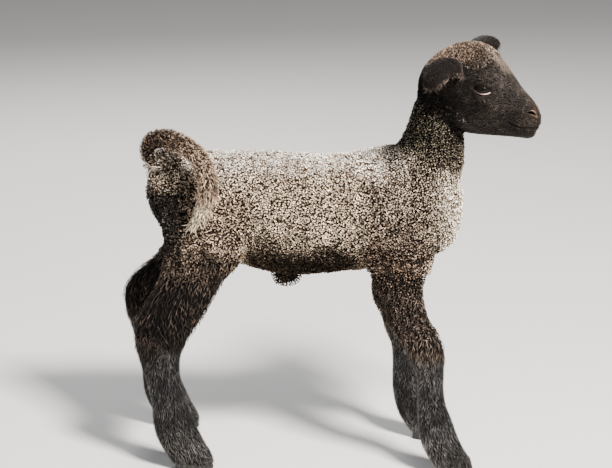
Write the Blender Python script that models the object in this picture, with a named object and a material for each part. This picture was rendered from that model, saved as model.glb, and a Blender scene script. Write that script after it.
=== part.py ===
"""A life-size newborn Shropshire lamb, standing, with its long tail carried over its rump.

The lamb faces +X, its right side is at -Y and the floor is z = 0. Sizes in the tables are in
millimetres and reach out to the tips of the coat, and the meshes are in metres.
"""

import math
import random

import bmesh
import bpy
import numpy as np
from mathutils import Matrix, Vector

MM = 0.001
GAP = 0.3 * MM  # what two touching pieces keep between them
SIDES = {"right": -1, "left": 1}
SEED = 7

# Torso: x, top, bottom, height of the widest line, half width
TORSO = [
    (-176, 326, 300, 313, 9),
    (-170, 336, 280, 310, 27),
    (-160, 345, 262, 305, 38),
    (-145, 351, 250, 300, 46),
    (-120, 355, 240, 298, 52),
    (-95, 356, 232, 295, 55),
    (-70, 357, 223, 292, 58),
    (-45, 357, 216, 288, 61),
    (-15, 356, 212, 285, 63),
    (15, 354, 214, 285, 63),
    (45, 357, 218, 287, 61),
    (70, 362, 221, 290, 58),
    (95, 367, 224, 292, 54),
    (115, 368, 228, 294, 49),
    (135, 361, 234, 294, 43),
    (150, 349, 240, 294, 36),
    (163, 334, 253, 294, 27),
    (171, 316, 272, 295, 13),
]
# Neck: z, back edge, front edge, half width
NECK = [
    (285, 62, 164, 46),
    (300, 66, 169, 48),
    (318, 72, 173, 46),
    (336, 82, 177, 42),
    (354, 93, 178, 38),
    (370, 103, 179, 35),
    (385, 110, 179, 34),
    (400, 114, 178, 33),
    (415, 118, 176, 32),
    (430, 124, 174, 30),
    (440, 132, 168, 22),
]
# Legs: z, back edge, front edge, distance of the leg's middle from the midplane, half width
FORE_LEG = [
    (285, 74, 150, 38, 15),
    (262, 70, 150, 41, 21),
    (245, 70, 148, 43, 23),
    (229, 74, 139, 45, 23),
    (213, 82, 135, 47, 22),
    (195, 90, 137, 49, 20.5),
    (178, 94, 142, 51, 19),
    (165, 101, 151, 53, 18.5),
    (151, 110, 158.5, 54, 18),
    (135, 119, 160, 55, 16),
    (117, 127, 160, 55, 14),
    (98, 129.5, 160, 55, 14),
    (80, 129.5, 163, 55, 15),
    (62, 130, 170, 55.5, 17),
    (45, 132, 176, 56, 17),
    (30, 136, 183, 56, 16.5),
    (17, 143, 191, 56, 17),
    (6, 150, 194, 56, 17),
]
HIND_LEG = [
    (310, -158, -74, 33, 22),
    (285, -162, -64, 37, 29),
    (262, -158, -60, 41, 31),
    (240, -157, -67, 45, 29),
    (224, -160, -82, 48, 27),
    (207, -167, -92, 51, 25),
    (190, -178, -101, 54, 22),
    (175, -187, -110, 57, 19.5),
    (163, -190, -118, 59, 18),
    (150, -189, -127, 60.5, 17),
    (135, -186, -134, 61.5, 16),
    (118, -181, -136, 62.5, 15),
    (97, -174.5, -134, 63.5, 15),
    (76, -170, -127.5, 64.5, 16.5),
    (58, -169, -121.5, 65, 17.5),
    (43, -167, -115, 65, 17),
    (29, -162, -108, 65, 16.5),
    (17, -155, -101, 65, 17),
    (6, -148, -98, 65, 17),
]
# How the left legs stand against the right ones: z, shift in x, lift
FORE_SHIFT = [(0, -31, 0), (60, -33, 0), (130, -33, 0), (190, -20, 0), (245, 0, 0), (320, 0, 0)]
HIND_SHIFT = [
    (0, -35, 0),
    (60, -34, 1),
    (100, -33, 4),
    (165, -33, 9),
    (190, -27, 8),
    (215, -18, 4),
    (262, 0, 0),
    (320, 0, 0),
]

LEGS = {"fore": (FORE_LEG, FORE_SHIFT), "hind": (HIND_LEG, HIND_SHIFT)}

# Head, in its own frame: forward of the pivot, top, bottom, widest line, half width, jaw taper
HEAD_PIVOT = Vector((150, 0, 0)) * MM
HEAD_YAW = math.radians(-17)
HEAD = [
    (-23, 444, 412, 430, 12, 0.0),
    (-15, 458, 402, 434, 26, 0.1),
    (0, 472, 392, 438, 33, 0.15),
    (15, 480, 386, 440, 35, 0.25),
    (30, 483, 381, 440, 35, 0.35),
    (45, 482, 380, 439, 34.5, 0.42),
    (58, 475, 380, 436, 32.5, 0.45),
    (70, 463, 380, 430, 27.5, 0.42),
    (80, 449.5, 380, 421, 23.5, 0.4),
    (90, 437, 380, 413, 21, 0.3),
    (98, 429, 381, 408, 19.5, 0.25),
    (104, 422.5, 384, 405, 17, 0.2),
    (109, 414, 390, 403, 12.5, 0.1),
    (112.5, 407, 398, 402, 5, 0.0),
]
# Swellings blended into the head, on both sides: place, radii
CHEEK = ((27, 15, 411), (27, 13, 22))
BROW = ((54, 22, 447), (18, 13, 10))
MUZZLE = ((97, 11, 404), (12, 10, 12))
CHIN = ((98, 0, 386), (11, 11, 6))

EYE_PLACE = (54.5, 24.6, 437)
EYE_RADIUS = 10.5
LID_THICKNESS = 1.9
EYE_OPENING = (20, 9)  # length and height between the lids
EYE_SLANT = 13  # the corner towards the nose is the lower one
NOSTRIL_PLACE = (105.5, 10.5, 411.5)
NOSTRIL_RADII = (6.5, 5.0, 2.8)
# Line of the mouth from its corner to the lips: forward, height, half of its opening
MOUTH = [(80, 402.5, 0.3), (87, 398.8, 0.5), (95, 396.8, 0.6), (104, 396, 0.7), (126, 395, 0.8)]

EAR_ROOT = (22, 29, 458)
EAR_REACH = {"right": (-1, 66, -13), "left": (8, 66, 4)}  # from the root to the tip
EAR_OPENS = (0.42, 0, -0.91)
# Ear: share of the length, radius of the cup, half of the angle that its wall spans
EAR_CUP = [
    (0.0, 9, 165),
    (0.2, 12.5, 140),
    (0.4, 16.5, 108),
    (0.6, 17.5, 92),
    (0.8, 14.5, 80),
    (0.93, 8.5, 72),
    (1.0, 3.0, 65),
]
EAR_WALL = 2.8

# Tail: x, y, z of the middle of the tail, radius
TAIL = [
    (-150, 0, 322, 8),
    (-163, 0, 329, 9),
    (-174, -1, 339, 9.5),
    (-178, -5, 352, 10.5),
    (-174, -10, 364, 11.5),
    (-164, -18, 370.5, 12),
    (-151, -27, 373, 12.2),
    (-135, -40, 371, 12.2),
    (-120, -53, 365, 12.4),
    (-108, -64, 355, 12.8),
    (-101.5, -72, 341, 13),
    (-100.5, -75.5, 326, 12.8),
    (-104, -77, 312, 11),
    (-110, -77.5, 299, 8),
    (-116, -77.5, 289, 4.5),
    (-119, -77.5, 284, 1.5),
]
TAIL_CUTS = {"tail_root": 0.34, "tail_arch": 0.70}  # the share of the tail where each length ends

HOOF_TOP = 15  # height of the coronet at the middle of the foot
HOOF_SLOPE = math.radians(14)  # the coronet rises towards the toe
HOOF_LENGTH = 42
CLAW_WIDTH = 15
CLEFT = 2.2

# Cuts that part the body into its nodes: place, normal, half width and half depth of the cut
NECK_CUTS = {
    "throat": ((149, 0, 401), (0.66, 0, 0.75), 60, 62),
    "neck_base": ((134, 0, 337), (0.72, 0, 0.69), 80, 78),
}
LEG_CUTS = {  # for the right legs: x, z, tilt of the cut about the cross axis, half depth
    "fore_elbow": (108, 217, 6, 52),
    "fore_knee": (133, 141, 8, 40),
    "hind_stifle": (-113, 222, -12, 62),
    "hind_hock": (-157, 140, -6, 42),
}

# Coat: the core lies this far under the tips of the clumps and locks
WOOL_DEPTH = 7
TAIL_WOOL_DEPTH = 4.6
HAIR_DEPTH = 2.5
SPACING = {"torso": 26, "neck": 22, "poll": 14, "shag": 24}  # least, before they are evened out
RELAXING = 12
CLUMP_SPREAD = 0.7  # radius of a clump as a share of its spacing
CLUMP_SIDES = 6
# Dome of a clump: share of its height, share of its radius
CLUMP_DOME = [(0.08, 1.0), (0.68, 0.76)]
POLL_DEPTH = 2.2
TAIL_WOOL_FROM = 36  # how far along the tail its first clumps grow
TAIL_CLUMP_STEP = 0.35  # steps from one clump to the next, by the tail's radius
TAIL_CLUMP_TURN = math.radians(137.5)
LOCK_SIZE = (38, 20, 4.2)  # length, width, thickness at its thickest
# Bend of a lock: share of its length, share of its width and thickness, height over the root
LOCK_BEND = [(0.0, 0.75, -2.0), (0.3, 1.0, 0.9), (0.68, 0.74, 2.5), (1.0, 0.0, 4.2)]
SHAG_TOP = {"fore": 240, "hind": 252}  # where the fleece gives way to long straight hair
SHAG_END = {"fore": 146, "hind": 152}
NAVEL = ((-22, 0, 213), (14, 7, 11))

WELDS = (0.03, 0.01, 0.004, 0.002, 0.0)  # corners of a cut this close are tried as one
VOXEL = 3.0
# Triangles of the skin before its coat is joined to it, and of both after
BODY_TRIANGLES = {"core": 2000, "coat": 8600}
HEAD_TRIANGLES = {"core": 1900, "coat": 1850}
TAIL_TRIANGLES = 1700

WOOL = ("wool", (0.47, 0.42, 0.36), 0.95)
FACE = ("face_fur", (0.075, 0.062, 0.055), 0.85)
LEG = ("leg_fur", (0.055, 0.045, 0.040), 0.85)
EYE = ("eye", (0.03, 0.02, 0.012), 0.08)
HORN = ("hoof_horn", (0.03, 0.027, 0.025), 0.5)


def material(finish):
    """The material of that name, made when it is first asked for."""
    name, colour, roughness = finish
    made = bpy.data.materials.get(name)
    if made is None:
        made = bpy.data.materials.new(name)
        made.use_nodes = True
        shader = made.node_tree.nodes["Principled BSDF"]
        shader.inputs["Base Color"].default_value = (*colour, 1)
        shader.inputs["Roughness"].default_value = roughness
        shader.inputs["Metallic"].default_value = 0
    return made


def object_of(name, mesh):
    made = bpy.data.objects.new(name, mesh)
    bpy.context.scene.collection.objects.link(made)
    return made


def object_from(name, bm):
    """The bmesh as an object, with its faces turned outwards."""
    bmesh.ops.recalc_face_normals(bm, faces=bm.faces)
    mesh = bpy.data.meshes.new(name)
    bm.to_mesh(mesh)
    bm.free()
    return object_of(name, mesh)


def remove(objects):
    for item in objects:
        bpy.data.objects.remove(item)


def freeze(item):
    """Puts what the modifiers make into the mesh, and takes the modifiers away."""
    graph = bpy.context.evaluated_depsgraph_get()
    graph.update()
    mesh = bpy.data.meshes.new_from_object(item.evaluated_get(graph))
    item.modifiers.clear()
    item.data = mesh
    return item


def resampled(stations, count):
    """The table read at evenly spaced places on a Catmull-Rom curve through its rows."""
    rows = np.array(stations, float)
    rows = np.vstack([2 * rows[0] - rows[1], rows, 2 * rows[-1] - rows[-2]])
    places = np.linspace(0, len(stations) - 1, count)
    made = []
    for place in places:
        first = min(int(place), len(stations) - 2)
        t = place - first
        a, b, c, d = rows[first : first + 4]
        slopes = c - a + t * (2 * a - 5 * b + 4 * c - d + t * (3 * (b - c) + d - a))
        made.append([float(value) for value in b + 0.5 * t * slopes])
    return made


def shifted(table, z, column=1):
    """The table's column at that height."""
    rows = sorted(table)
    return float(np.interp(z, [row[0] for row in rows], [row[column] for row in rows]))


def loft(name, rings):
    """A closed tube through rings of points in metres, with a flat cap at each end."""
    bm = bmesh.new()
    loops = [[bm.verts.new(point) for point in ring] for ring in rings]
    for low, high in zip(loops, loops[1:]):
        for i, corner in enumerate(low):
            j = (i + 1) % len(low)
            bm.faces.new((corner, low[j], high[j], high[i]))
    bm.faces.new(loops[0])
    bm.faces.new(loops[-1])
    return object_from(name, bm)


def upright_ring(x, top, bottom, widest, half_width, taper=0.0, sides=24):
    """An egg-shaped ring across the body, with the jaw drawn in below its widest line."""
    points = []
    for i in range(sides):
        angle = 2 * math.pi * i / sides
        up = math.cos(angle)
        reach = top - widest if up > 0 else widest - bottom
        width = half_width * math.sin(angle) * (1 - taper * max(0.0, -up) ** 1.5)
        points.append(Vector((x, width, widest + reach * up)) * MM)
    return points


def level_ring(z, back, front, middle, half_width, sides=20):
    """An ellipse at one height, as a slice through a leg or the neck."""
    centre = (back + front) / 2
    depth = (front - back) / 2
    return [
        Vector((centre + depth * math.cos(a), middle + half_width * math.sin(a), z)) * MM
        for a in (2 * math.pi * i / sides for i in range(sides))
    ]


def ellipsoid(name, centre, radii, segments=20, rings=12):
    bm = bmesh.new()
    bmesh.ops.create_uvsphere(bm, u_segments=segments, v_segments=rings, radius=1)
    bmesh.ops.scale(bm, vec=Vector(radii) * MM, verts=bm.verts)
    bmesh.ops.translate(bm, vec=Vector(centre) * MM, verts=bm.verts)
    return object_from(name, bm)


def head_frame():
    """The matrix that carries the head's own frame into place."""
    return Matrix.Translation(HEAD_PIVOT) @ Matrix.Rotation(HEAD_YAW, 4, "Z")


def on_head(item):
    """Turns an object that was modelled in the head's frame into place."""
    item.data.transform(head_frame())
    return item


def torso_form(depth):
    rings = []
    for x, top, bottom, widest, half_width in resampled(TORSO, 60):
        width = max(3.0, half_width - depth)
        rings.append(upright_ring(x, top - depth, bottom + depth, widest, width))
    return loft("torso_form", rings)


def neck_form(depth):
    rings = [
        level_ring(z, back + depth, front - depth, 0, half_width - depth)
        for z, back, front, half_width in resampled(NECK, 30)
    ]
    return loft("neck_form", rings)


def leg_depth(kind, z):
    """How far the core of a leg lies under the tips of its hair at that height."""
    wool = WOOL_DEPTH - HAIR_DEPTH
    heights = (SHAG_END[kind] - 10, SHAG_END[kind], SHAG_TOP[kind] - 12, SHAG_TOP[kind] + 12)
    return float(np.interp(z, heights, (0, HAIR_DEPTH, HAIR_DEPTH, HAIR_DEPTH + wool)))


def leg_form(kind, side, depth):
    table, shift_table = LEGS[kind]
    rings = []
    for z, back, front, middle, half_width in resampled(table, 60):
        shift = shifted(shift_table, z) if side > 0 else 0
        lift = shifted(shift_table, z, 2) if side > 0 else 0
        inset = leg_depth(kind, z) if depth else 0
        rings.append(
            level_ring(
                z + lift,
                back + shift + inset,
                front + shift - inset,
                side * middle,
                half_width - inset,
            )
        )
    return loft("leg_form", rings)


def head_forms():
    """The skull and muzzle, with the swellings of cheek, brow, lips and chin."""
    forms = [loft("head_form", [upright_ring(*row) for row in resampled(HEAD, 50)])]
    for (x, y, z), radii in (CHEEK, BROW, MUZZLE):
        forms += [ellipsoid("swelling", (x, side * y, z), radii) for side in SIDES.values()]
    forms.append(ellipsoid("chin", *CHIN))
    return [on_head(form) for form in forms]


def joined(name, pieces):
    """One object that holds the pieces' meshes side by side."""
    bm = bmesh.new()
    for piece in pieces:
        bm.from_mesh(piece.data)
    remove(pieces)
    mesh = bpy.data.meshes.new(name)
    bm.to_mesh(mesh)
    bm.free()
    return object_of(name, mesh)


def blended(name, pieces, voxel, smoothing):
    """The pieces as one skin: remeshed on a grid and smoothed, so that they flow together."""
    item = joined(name, pieces)
    remesh = item.modifiers.new("Skin", "REMESH")
    remesh.mode = "VOXEL"
    remesh.voxel_size = voxel * MM
    smooth = item.modifiers.new("Smooth", "SMOOTH")
    smooth.factor = 0.5
    smooth.iterations = smoothing
    return freeze(item)


def simplified(item, triangles):
    """Brings the object down to about that many triangles."""
    corners = item.modifiers.new("Triangles", "TRIANGULATE")
    corners.quad_method = "BEAUTY"
    freeze(item)
    decimate = item.modifiers.new("Decimate", "DECIMATE")
    decimate.ratio = min(1.0, triangles / len(item.data.polygons))
    return freeze(item)


def boolean(item, operation, tools, solver="MANIFOLD"):
    """Joins the tools to the object or cuts them from it, and removes the tools."""
    group = bpy.data.collections.new("tools")
    for tool in tools:
        group.objects.link(tool)
    modifier = item.modifiers.new("Boolean", "BOOLEAN")
    modifier.operation = operation
    modifier.operand_type = "COLLECTION"
    modifier.collection = group
    modifier.solver = solver
    freeze(item)
    remove(tools)
    bpy.data.collections.remove(group)
    return item


def islands(bm):
    """The separate surfaces of a bmesh, each as a list of its faces."""
    left = set(bm.faces)
    found = []
    while left:
        island = [left.pop()]
        for face in island:
            for edge in face.edges:
                for other in edge.link_faces:
                    if other in left:
                        left.remove(other)
                        island.append(other)
        found.append(island)
    return found


def volume_of(faces):
    """Six times the volume inside closed faces, less a share where they are not closed."""
    total = 0.0
    for face in faces:
        first = face.verts[0].co
        for second, third in zip(face.verts[1:], face.verts[2:]):
            total += first.dot(second.co.cross(third.co))
    return total


def triangles_of(item):
    """The object as triangles, split so that no two of its flat faces share a diagonal."""
    for way in ("BEAUTY", "EAR_CLIP"):
        bm = bmesh.new()
        bm.from_mesh(item.data)
        bmesh.ops.triangulate(bm, faces=bm.faces, ngon_method=way)
        if all(edge.is_manifold for edge in bm.edges):
            break
    return bm


def surfaces(item, name, wanted):
    """Removes the object and returns its largest closed surfaces as objects, the largest first."""
    source = triangles_of(item)
    ordered = sorted(islands(source), key=volume_of, reverse=True)[:wanted]
    found = []
    for island in ordered:
        for weld in WELDS:
            bm = bmesh.new()
            copied = {}
            for face in island:
                for corner in face.verts:
                    if corner not in copied:
                        copied[corner] = bm.verts.new(corner.co)
                bm.faces.new([copied[corner] for corner in face.verts])
            bmesh.ops.remove_doubles(bm, verts=bm.verts, dist=weld * MM)
            if all(edge.is_manifold for edge in bm.edges):
                break
        else:
            print(name, "has an open or doubled edge")
        found.append(object_from(name, bm))
    source.free()
    remove([item])
    return found


def largest(item):
    """The object's largest closed surface, under the object's own name."""
    name = item.name
    item.name = "whole"
    return surfaces(item, name, 1)[0]


def finished(item, name, finish):
    """Names a node, gives it its material and shades it smooth but for its sharp edges."""
    item.name = name
    item.data.name = name
    item.data.materials.clear()
    item.data.materials.append(material(finish))
    item.data.shade_smooth()
    item.data.set_sharp_from_angle(angle=math.radians(50))
    return item


def plate(centre, normal, half_width, half_depth):
    """A cutter as thick as the gap between two nodes, square to its normal."""
    bm = bmesh.new()
    bmesh.ops.create_cube(bm, size=2)
    bmesh.ops.scale(bm, vec=(half_depth * MM, half_width * MM, GAP / 2), verts=bm.verts)
    turn = Vector(normal).to_track_quat("Z", "Y").to_matrix()
    across = turn.inverted() @ Vector((0, 1, 0))
    spin = Matrix.Rotation(math.atan2(across.y, across.x) - math.pi / 2, 3, "Z")
    bmesh.ops.rotate(bm, matrix=turn @ spin, verts=bm.verts)
    bmesh.ops.translate(bm, vec=Vector(centre) * MM, verts=bm.verts)
    return object_from("plate", bm)


def leg_plates():
    """The cuts across each leg, those of the left legs moved back as the legs are."""
    plates = []
    for name, (x, z, tilt, depth) in LEG_CUTS.items():
        table, shifts = LEGS[name[:4]]
        middle = shifted(table, z, 3)
        normal = (math.sin(math.radians(tilt)), 0, math.cos(math.radians(tilt)))
        for side in SIDES.values():
            shift = shifted(shifts, z) if side > 0 else 0
            lift = shifted(shifts, z, 2) if side > 0 else 0
            centre = (x + shift, side * middle, z + lift)
            plates.append(plate(centre, normal, min(middle - 1, 40), depth))
    return plates


def neck_plates():
    return [plate(*cut) for cut in NECK_CUTS.values()]


def coronet_cutters():
    """Wedges that end each leg on the slope where its hoof begins."""
    cutters = []
    for centre in hoof_places().values():
        bm = bmesh.new()
        bmesh.ops.create_cube(bm, size=2)
        bmesh.ops.scale(bm, vec=Vector((50, 30, 30)) * MM, verts=bm.verts)
        bmesh.ops.translate(bm, vec=(0, 0, -30 * MM), verts=bm.verts)
        bmesh.ops.rotate(bm, matrix=Matrix.Rotation(-HOOF_SLOPE, 3, "Y"), verts=bm.verts)
        bmesh.ops.translate(bm, vec=(centre.x, centre.y, HOOF_TOP * MM + GAP), verts=bm.verts)
        cutters.append(object_from("coronet", bm))
    return cutters


def hoof_places():
    """The middle of each foot on the floor."""
    places = {}
    for kind, (table, shifts) in LEGS.items():
        _, back, front, middle, _ = table[-1]
        for side_name, side in SIDES.items():
            shift = shifted(shifts, 0) if side > 0 else 0
            x = (back + front) / 2 + shift
            places[f"{kind}_{side_name}"] = Vector((x, side * middle, 0)) * MM
    return places


def claw(name, centre, side):
    """One claw of a cloven hoof: flat below, curved outside, straight along the cleft."""
    heel, toe = -0.45 * HOOF_LENGTH, 0.55 * HOOF_LENGTH
    outline = []
    for i in range(9):
        along = i / 8
        x = heel + (toe - heel) * along
        bulge = math.sin(math.pi * min(1, 0.16 + along * 0.84)) ** 0.6
        outline.append((x, CLEFT / 2 + CLAW_WIDTH * max(0.12, bulge)))
    outline += [(toe, CLEFT / 2 + 0.4), (heel, CLEFT / 2)]
    bm = bmesh.new()
    rings = []
    for level in (0.0, 0.45, 1.0):
        ring = []
        for x, y in outline:
            lean = 1 - 0.14 * level
            top = HOOF_TOP + math.tan(HOOF_SLOPE) * (x * lean - 2 * level)
            ring.append(bm.verts.new(Vector((x * lean - 2 * level, y * lean, top * level)) * MM))
        rings.append(ring)
    for low, high in zip(rings, rings[1:]):
        for i, corner in enumerate(low):
            j = (i + 1) % len(low)
            bm.faces.new((corner, low[j], high[j], high[i]))
    bm.faces.new(rings[0])
    bm.faces.new(rings[-1])
    bmesh.ops.scale(bm, vec=(1, side, 1), verts=bm.verts)
    bmesh.ops.translate(bm, vec=centre, verts=bm.verts)
    return finished(object_from(name, bm), name, HORN)


def hooves():
    """Two claws under each leg."""
    for place_name, centre in hoof_places().items():
        for claw_name, side in (("right", -1), ("left", 1)):
            claw(f"hoof_{place_name}_{claw_name}_claw", centre, side)


def body_skin(depth):
    """The torso, neck, head and legs flowing into one another, less the depth of the wool."""
    pieces = [torso_form(depth), neck_form(depth), *head_forms()]
    for side in SIDES.values():
        pieces.append(leg_form("fore", side, depth))
        pieces.append(leg_form("hind", side, depth))
    if depth:
        pieces.append(ellipsoid("navel", *NAVEL))
    return blended("skin", pieces, VOXEL, 8)


def behind_throat(place):
    """How far a place in metres lies on the neck's side of the cut at the throat."""
    point, normal = (Vector(value) for value in NECK_CUTS["throat"][:2])
    return (point * MM - place).dot(normal.normalized())


def leg_at(place):
    """The kind of leg that a place in metres is on, or nothing where it is on the body."""
    x, y, z = place / MM
    if z > 262 or abs(y) < 20:
        return None
    return "fore" if x > 62 else "hind" if x < -64 or z < 200 else None


def coat_at(place):
    """The kind of coat that grows at a place in metres."""
    if behind_throat(place) < -6 * MM:
        return None
    kind = leg_at(place)
    height = place.z / MM
    if kind and height < SHAG_TOP[kind]:
        return "shag" if height > SHAG_END[kind] else None
    if (place - Vector(NAVEL[0]) * MM).length < 15 * MM:
        return None
    if min((place - Vector(row[:3]) * MM).length for row in TAIL[:4]) < 25 * MM:
        return None
    if place.x > 85 * MM and height > 315:
        return "neck"
    return "torso"


def scattered(item, rng, kind_at, kind):
    """Evenly spread points of a fine mesh where one kind of coat grows, with their normals.

    They start in random order, each kept where it is clear of those before it, and then
    each moves to the middle of the area that is nearest to it.
    """
    vertices = [vertex for vertex in item.data.vertices if kind_at(vertex.co) == kind]
    rng.shuffle(vertices)
    places = np.array([vertex.co for vertex in vertices])
    spacing = SPACING[kind] * MM
    kept = places[:1]
    for place in places:
        if np.linalg.norm(kept - place, axis=1).min() > spacing:
            kept = np.vstack([kept, place])
    for _ in range(RELAXING):
        gaps = np.linalg.norm(places[:, None] - kept[None], axis=2)
        owner = gaps.argmin(axis=1)
        kept = np.array([places[owner == i].mean(axis=0) for i in range(len(kept))])
    found = []
    for place in kept:
        vertex = vertices[int(np.linalg.norm(places - place, axis=1).argmin())]
        found.append((vertex.co.copy(), vertex.normal.copy()))
    print(kind, "pieces:", len(found))
    return found


def clump(place, normal, radius, height, sunk, rng):
    """A rounded clump of fleece, as a closed dome with its root sunk into the skin."""
    turn = normal.to_track_quat("Z", "Y").to_matrix()
    first = rng.uniform(0, math.tau)
    bm = bmesh.new()
    levels = [(-sunk / height, 0.8)] + CLUMP_DOME
    rings = []
    for up, wide in levels:
        ring = []
        for i in range(CLUMP_SIDES):
            angle = first + math.tau * i / CLUMP_SIDES
            reach = radius * wide * MM
            point = Vector((reach * math.cos(angle), reach * math.sin(angle), up * height * MM))
            ring.append(bm.verts.new(place + turn @ point))
        rings.append(ring)
    for low, high in zip(rings, rings[1:]):
        for i, corner in enumerate(low):
            j = (i + 1) % CLUMP_SIDES
            bm.faces.new((corner, low[j], high[j], high[i]))
    bm.faces.new(rings[0])
    crown = bm.verts.new(place + turn @ Vector((0, 0, height * MM)))
    for i, corner in enumerate(rings[-1]):
        bm.faces.new((corner, rings[-1][(i + 1) % CLUMP_SIDES], crown))
    return object_from("clump", bm)


def lock(skin, place, normal, lie, rng):
    """A flat, tapered lock of hair that leaves the skin, and bends with it along its lie."""
    length, width, thickness = LOCK_SIZE
    size = rng.uniform(0.85, 1.15)
    turn = Matrix.Rotation(math.radians(rng.uniform(-14, 14)), 3, normal)
    bend = rng.uniform(0.8, 1.25)
    bm = bmesh.new()
    rings = []
    before = 0.0
    for share, swell, lift in LOCK_BEND:
        along = turn @ (lie - normal * lie.dot(normal)).normalized()
        place = place + along * length * size * (share - before) * MM
        _, place, normal, _ = skin.closest_point_on_mesh(place)
        before = share
        centre = place + normal * lift * bend * MM
        if swell == 0:
            tip = bm.verts.new(centre)
            break
        side = normal.cross(along) * width * size * swell / 2 * MM
        up = normal * thickness * swell / 2 * MM
        corners = (centre - side, centre + up, centre + side, centre - up)
        rings.append([bm.verts.new(corner) for corner in corners])
    for low, high in zip(rings, rings[1:]):
        for i, corner in enumerate(low):
            j = (i + 1) % 4
            bm.faces.new((corner, low[j], high[j], high[i]))
    bm.faces.new(rings[0])
    for i, corner in enumerate(rings[-1]):
        bm.faces.new((corner, rings[-1][(i + 1) % 4], tip))
    bmesh.ops.triangulate(bm, faces=bm.faces)
    return object_from("lock", bm)


def fleece(skin, rng):
    """Clumps over the body and neck, set close, and locks over the upper legs."""
    made = []
    for kind in ("torso", "neck"):
        for place, normal in scattered(skin, rng, coat_at, kind):
            size = rng.uniform(0.82, 1.16)
            radius = CLUMP_SPREAD * SPACING[kind] * size
            height = WOOL_DEPTH * size * rng.uniform(0.9, 1.06)
            made.append(clump(place, normal, radius, height, 4, rng))
    for place, normal in scattered(skin, rng, coat_at, "shag"):
        lie = Vector((-0.25, 0, -1)) if leg_at(place) == "fore" else Vector((-0.1, 0, -1))
        made.append(lock(skin, place, normal, lie, rng))
    return made


def poll_curls(skin, rng):
    """Low curls over the crown of the head, between the ears."""
    back = head_frame().inverted()

    def curls_at(place):
        along, side, height = back @ place / MM
        crown = -14 < along < 60 and abs(side) < 29 and height > 460 + 0.25 * abs(side)
        return "poll" if crown and behind_throat(place) < 0 else None

    made = []
    for place, normal in scattered(skin, rng, curls_at, "poll"):
        radius = CLUMP_SPREAD * SPACING["poll"] * rng.uniform(0.85, 1.1)
        height = POLL_DEPTH * rng.uniform(0.8, 1.15)
        made.append(clump(place - normal * 0.8 * MM, normal, radius, height, 2, rng))
    return made


def seeds():
    """A point inside each node that the cuts leave, for telling them apart."""
    points = {"neck": (143, 0, 370), "torso": (0, 0, 290)}
    for side_name, side in SIDES.items():
        fore = -25 if side > 0 else 0
        hind = -33 if side > 0 else 0
        points[f"fore_leg_{side_name}_upper"] = (117 + fore, side * 50, 180)
        points[f"fore_leg_{side_name}_lower"] = (148 + fore, side * 55, 80)
        points[f"hind_leg_{side_name}_upper"] = (-140 + hind, side * 54, 185)
        points[f"hind_leg_{side_name}_lower"] = (-152 + hind, side * 63, 85)
    return {name: Vector(point) * MM for name, point in points.items()}


def centre_of(item):
    corners = [Vector(corner) for corner in item.bound_box]
    return sum(corners, Vector()) / len(corners)


def parted(body):
    """Cuts the body into its nodes, and names each by the seed nearest to its middle."""
    body = boolean(body, "DIFFERENCE", neck_plates() + leg_plates() + coronet_cutters())
    pieces = surfaces(body, "piece", len(seeds()) + 1)
    places = seeds()
    nodes = {}
    for name, place in places.items():
        nearest = min(pieces, key=lambda piece: (centre_of(piece) - place).length)
        pieces.remove(nearest)
        finish = WOOL if name in ("neck", "torso") else LEG
        nodes[name] = finished(nearest, name, finish)
    remove(pieces)
    return nodes


def eye_lens(side):
    """The almond between the lids, as a cutter that reaches out of the head."""
    length, height = EYE_OPENING
    x, y, z = EYE_PLACE
    slant = math.radians(EYE_SLANT)
    rings = []
    for reach, grow in ((0, 1.0), (EYE_RADIUS + 13, 1.25)):
        ring = []
        for i in range(16):
            angle = math.tau * i / 16
            pinch = abs(math.sin(angle)) ** 1.3 * math.copysign(1, math.sin(angle))
            along = grow * length / 2 * math.cos(angle)
            up = grow * height / 2 * pinch
            dx = along * math.cos(slant) + up * math.sin(slant)
            dz = up * math.cos(slant) - along * math.sin(slant)
            ring.append(Vector((x + dx, side * (y + reach), z + dz)) * MM)
        rings.append(ring)
    return on_head(loft("lens", rings))


def mouth_slit():
    """The line of the mouth, as a thin curved cutter from its corners to the lips."""
    rings = [
        [Vector((x, y, z + up)) * MM for y, up in ((-30, -h), (30, -h), (30, h), (-30, h))]
        for x, z, h in MOUTH
    ]
    return on_head(loft("mouth", rings))


def nostril(side):
    x, y, z = NOSTRIL_PLACE
    pit = ellipsoid("nostril", (0, 0, 0), NOSTRIL_RADII, 12, 8)
    inward = Matrix.Rotation(side * math.radians(-30), 4, "Z")
    turn = inward @ Matrix.Rotation(math.radians(22), 4, "Y")
    pit.data.transform(Matrix.Translation(Vector((x, side * y, z)) * MM) @ turn)
    return on_head(pit)


def head_side(item):
    """The part of the object beyond the cut at the throat."""
    boolean(item, "DIFFERENCE", [plate(*NECK_CUTS["throat"])])
    pieces = surfaces(item, "head_piece", 2)
    pieces.sort(key=lambda piece: centre_of(piece).z)
    remove(pieces[:1])
    return pieces[1]


def head(skin, rng):
    """The head, with its lids, nostrils, the line of its mouth and the curls of its poll."""
    added = poll_curls(skin, rng)
    item = simplified(head_side(object_of("skin", skin.data.copy())), HEAD_TRIANGLES["core"])
    x, y, z = EYE_PLACE
    radius = EYE_RADIUS + LID_THICKNESS
    for side in SIDES.values():
        added.append(on_head(ellipsoid("lid", (x, side * y, z), (radius,) * 3, 20, 12)))
    boolean(item, "UNION", added)
    simplified(item, HEAD_TRIANGLES["coat"])
    radius = EYE_RADIUS + GAP / MM
    cutters = [mouth_slit(), plate(*NECK_CUTS["throat"])]
    for side in SIDES.values():
        cutters.append(on_head(ellipsoid("socket", (x, side * y, z), (radius,) * 3, 14, 9)))
        cutters.append(eye_lens(side))
        cutters.append(nostril(side))
    boolean(item, "DIFFERENCE", cutters)
    return finished(largest(item), "head", FACE)


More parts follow.
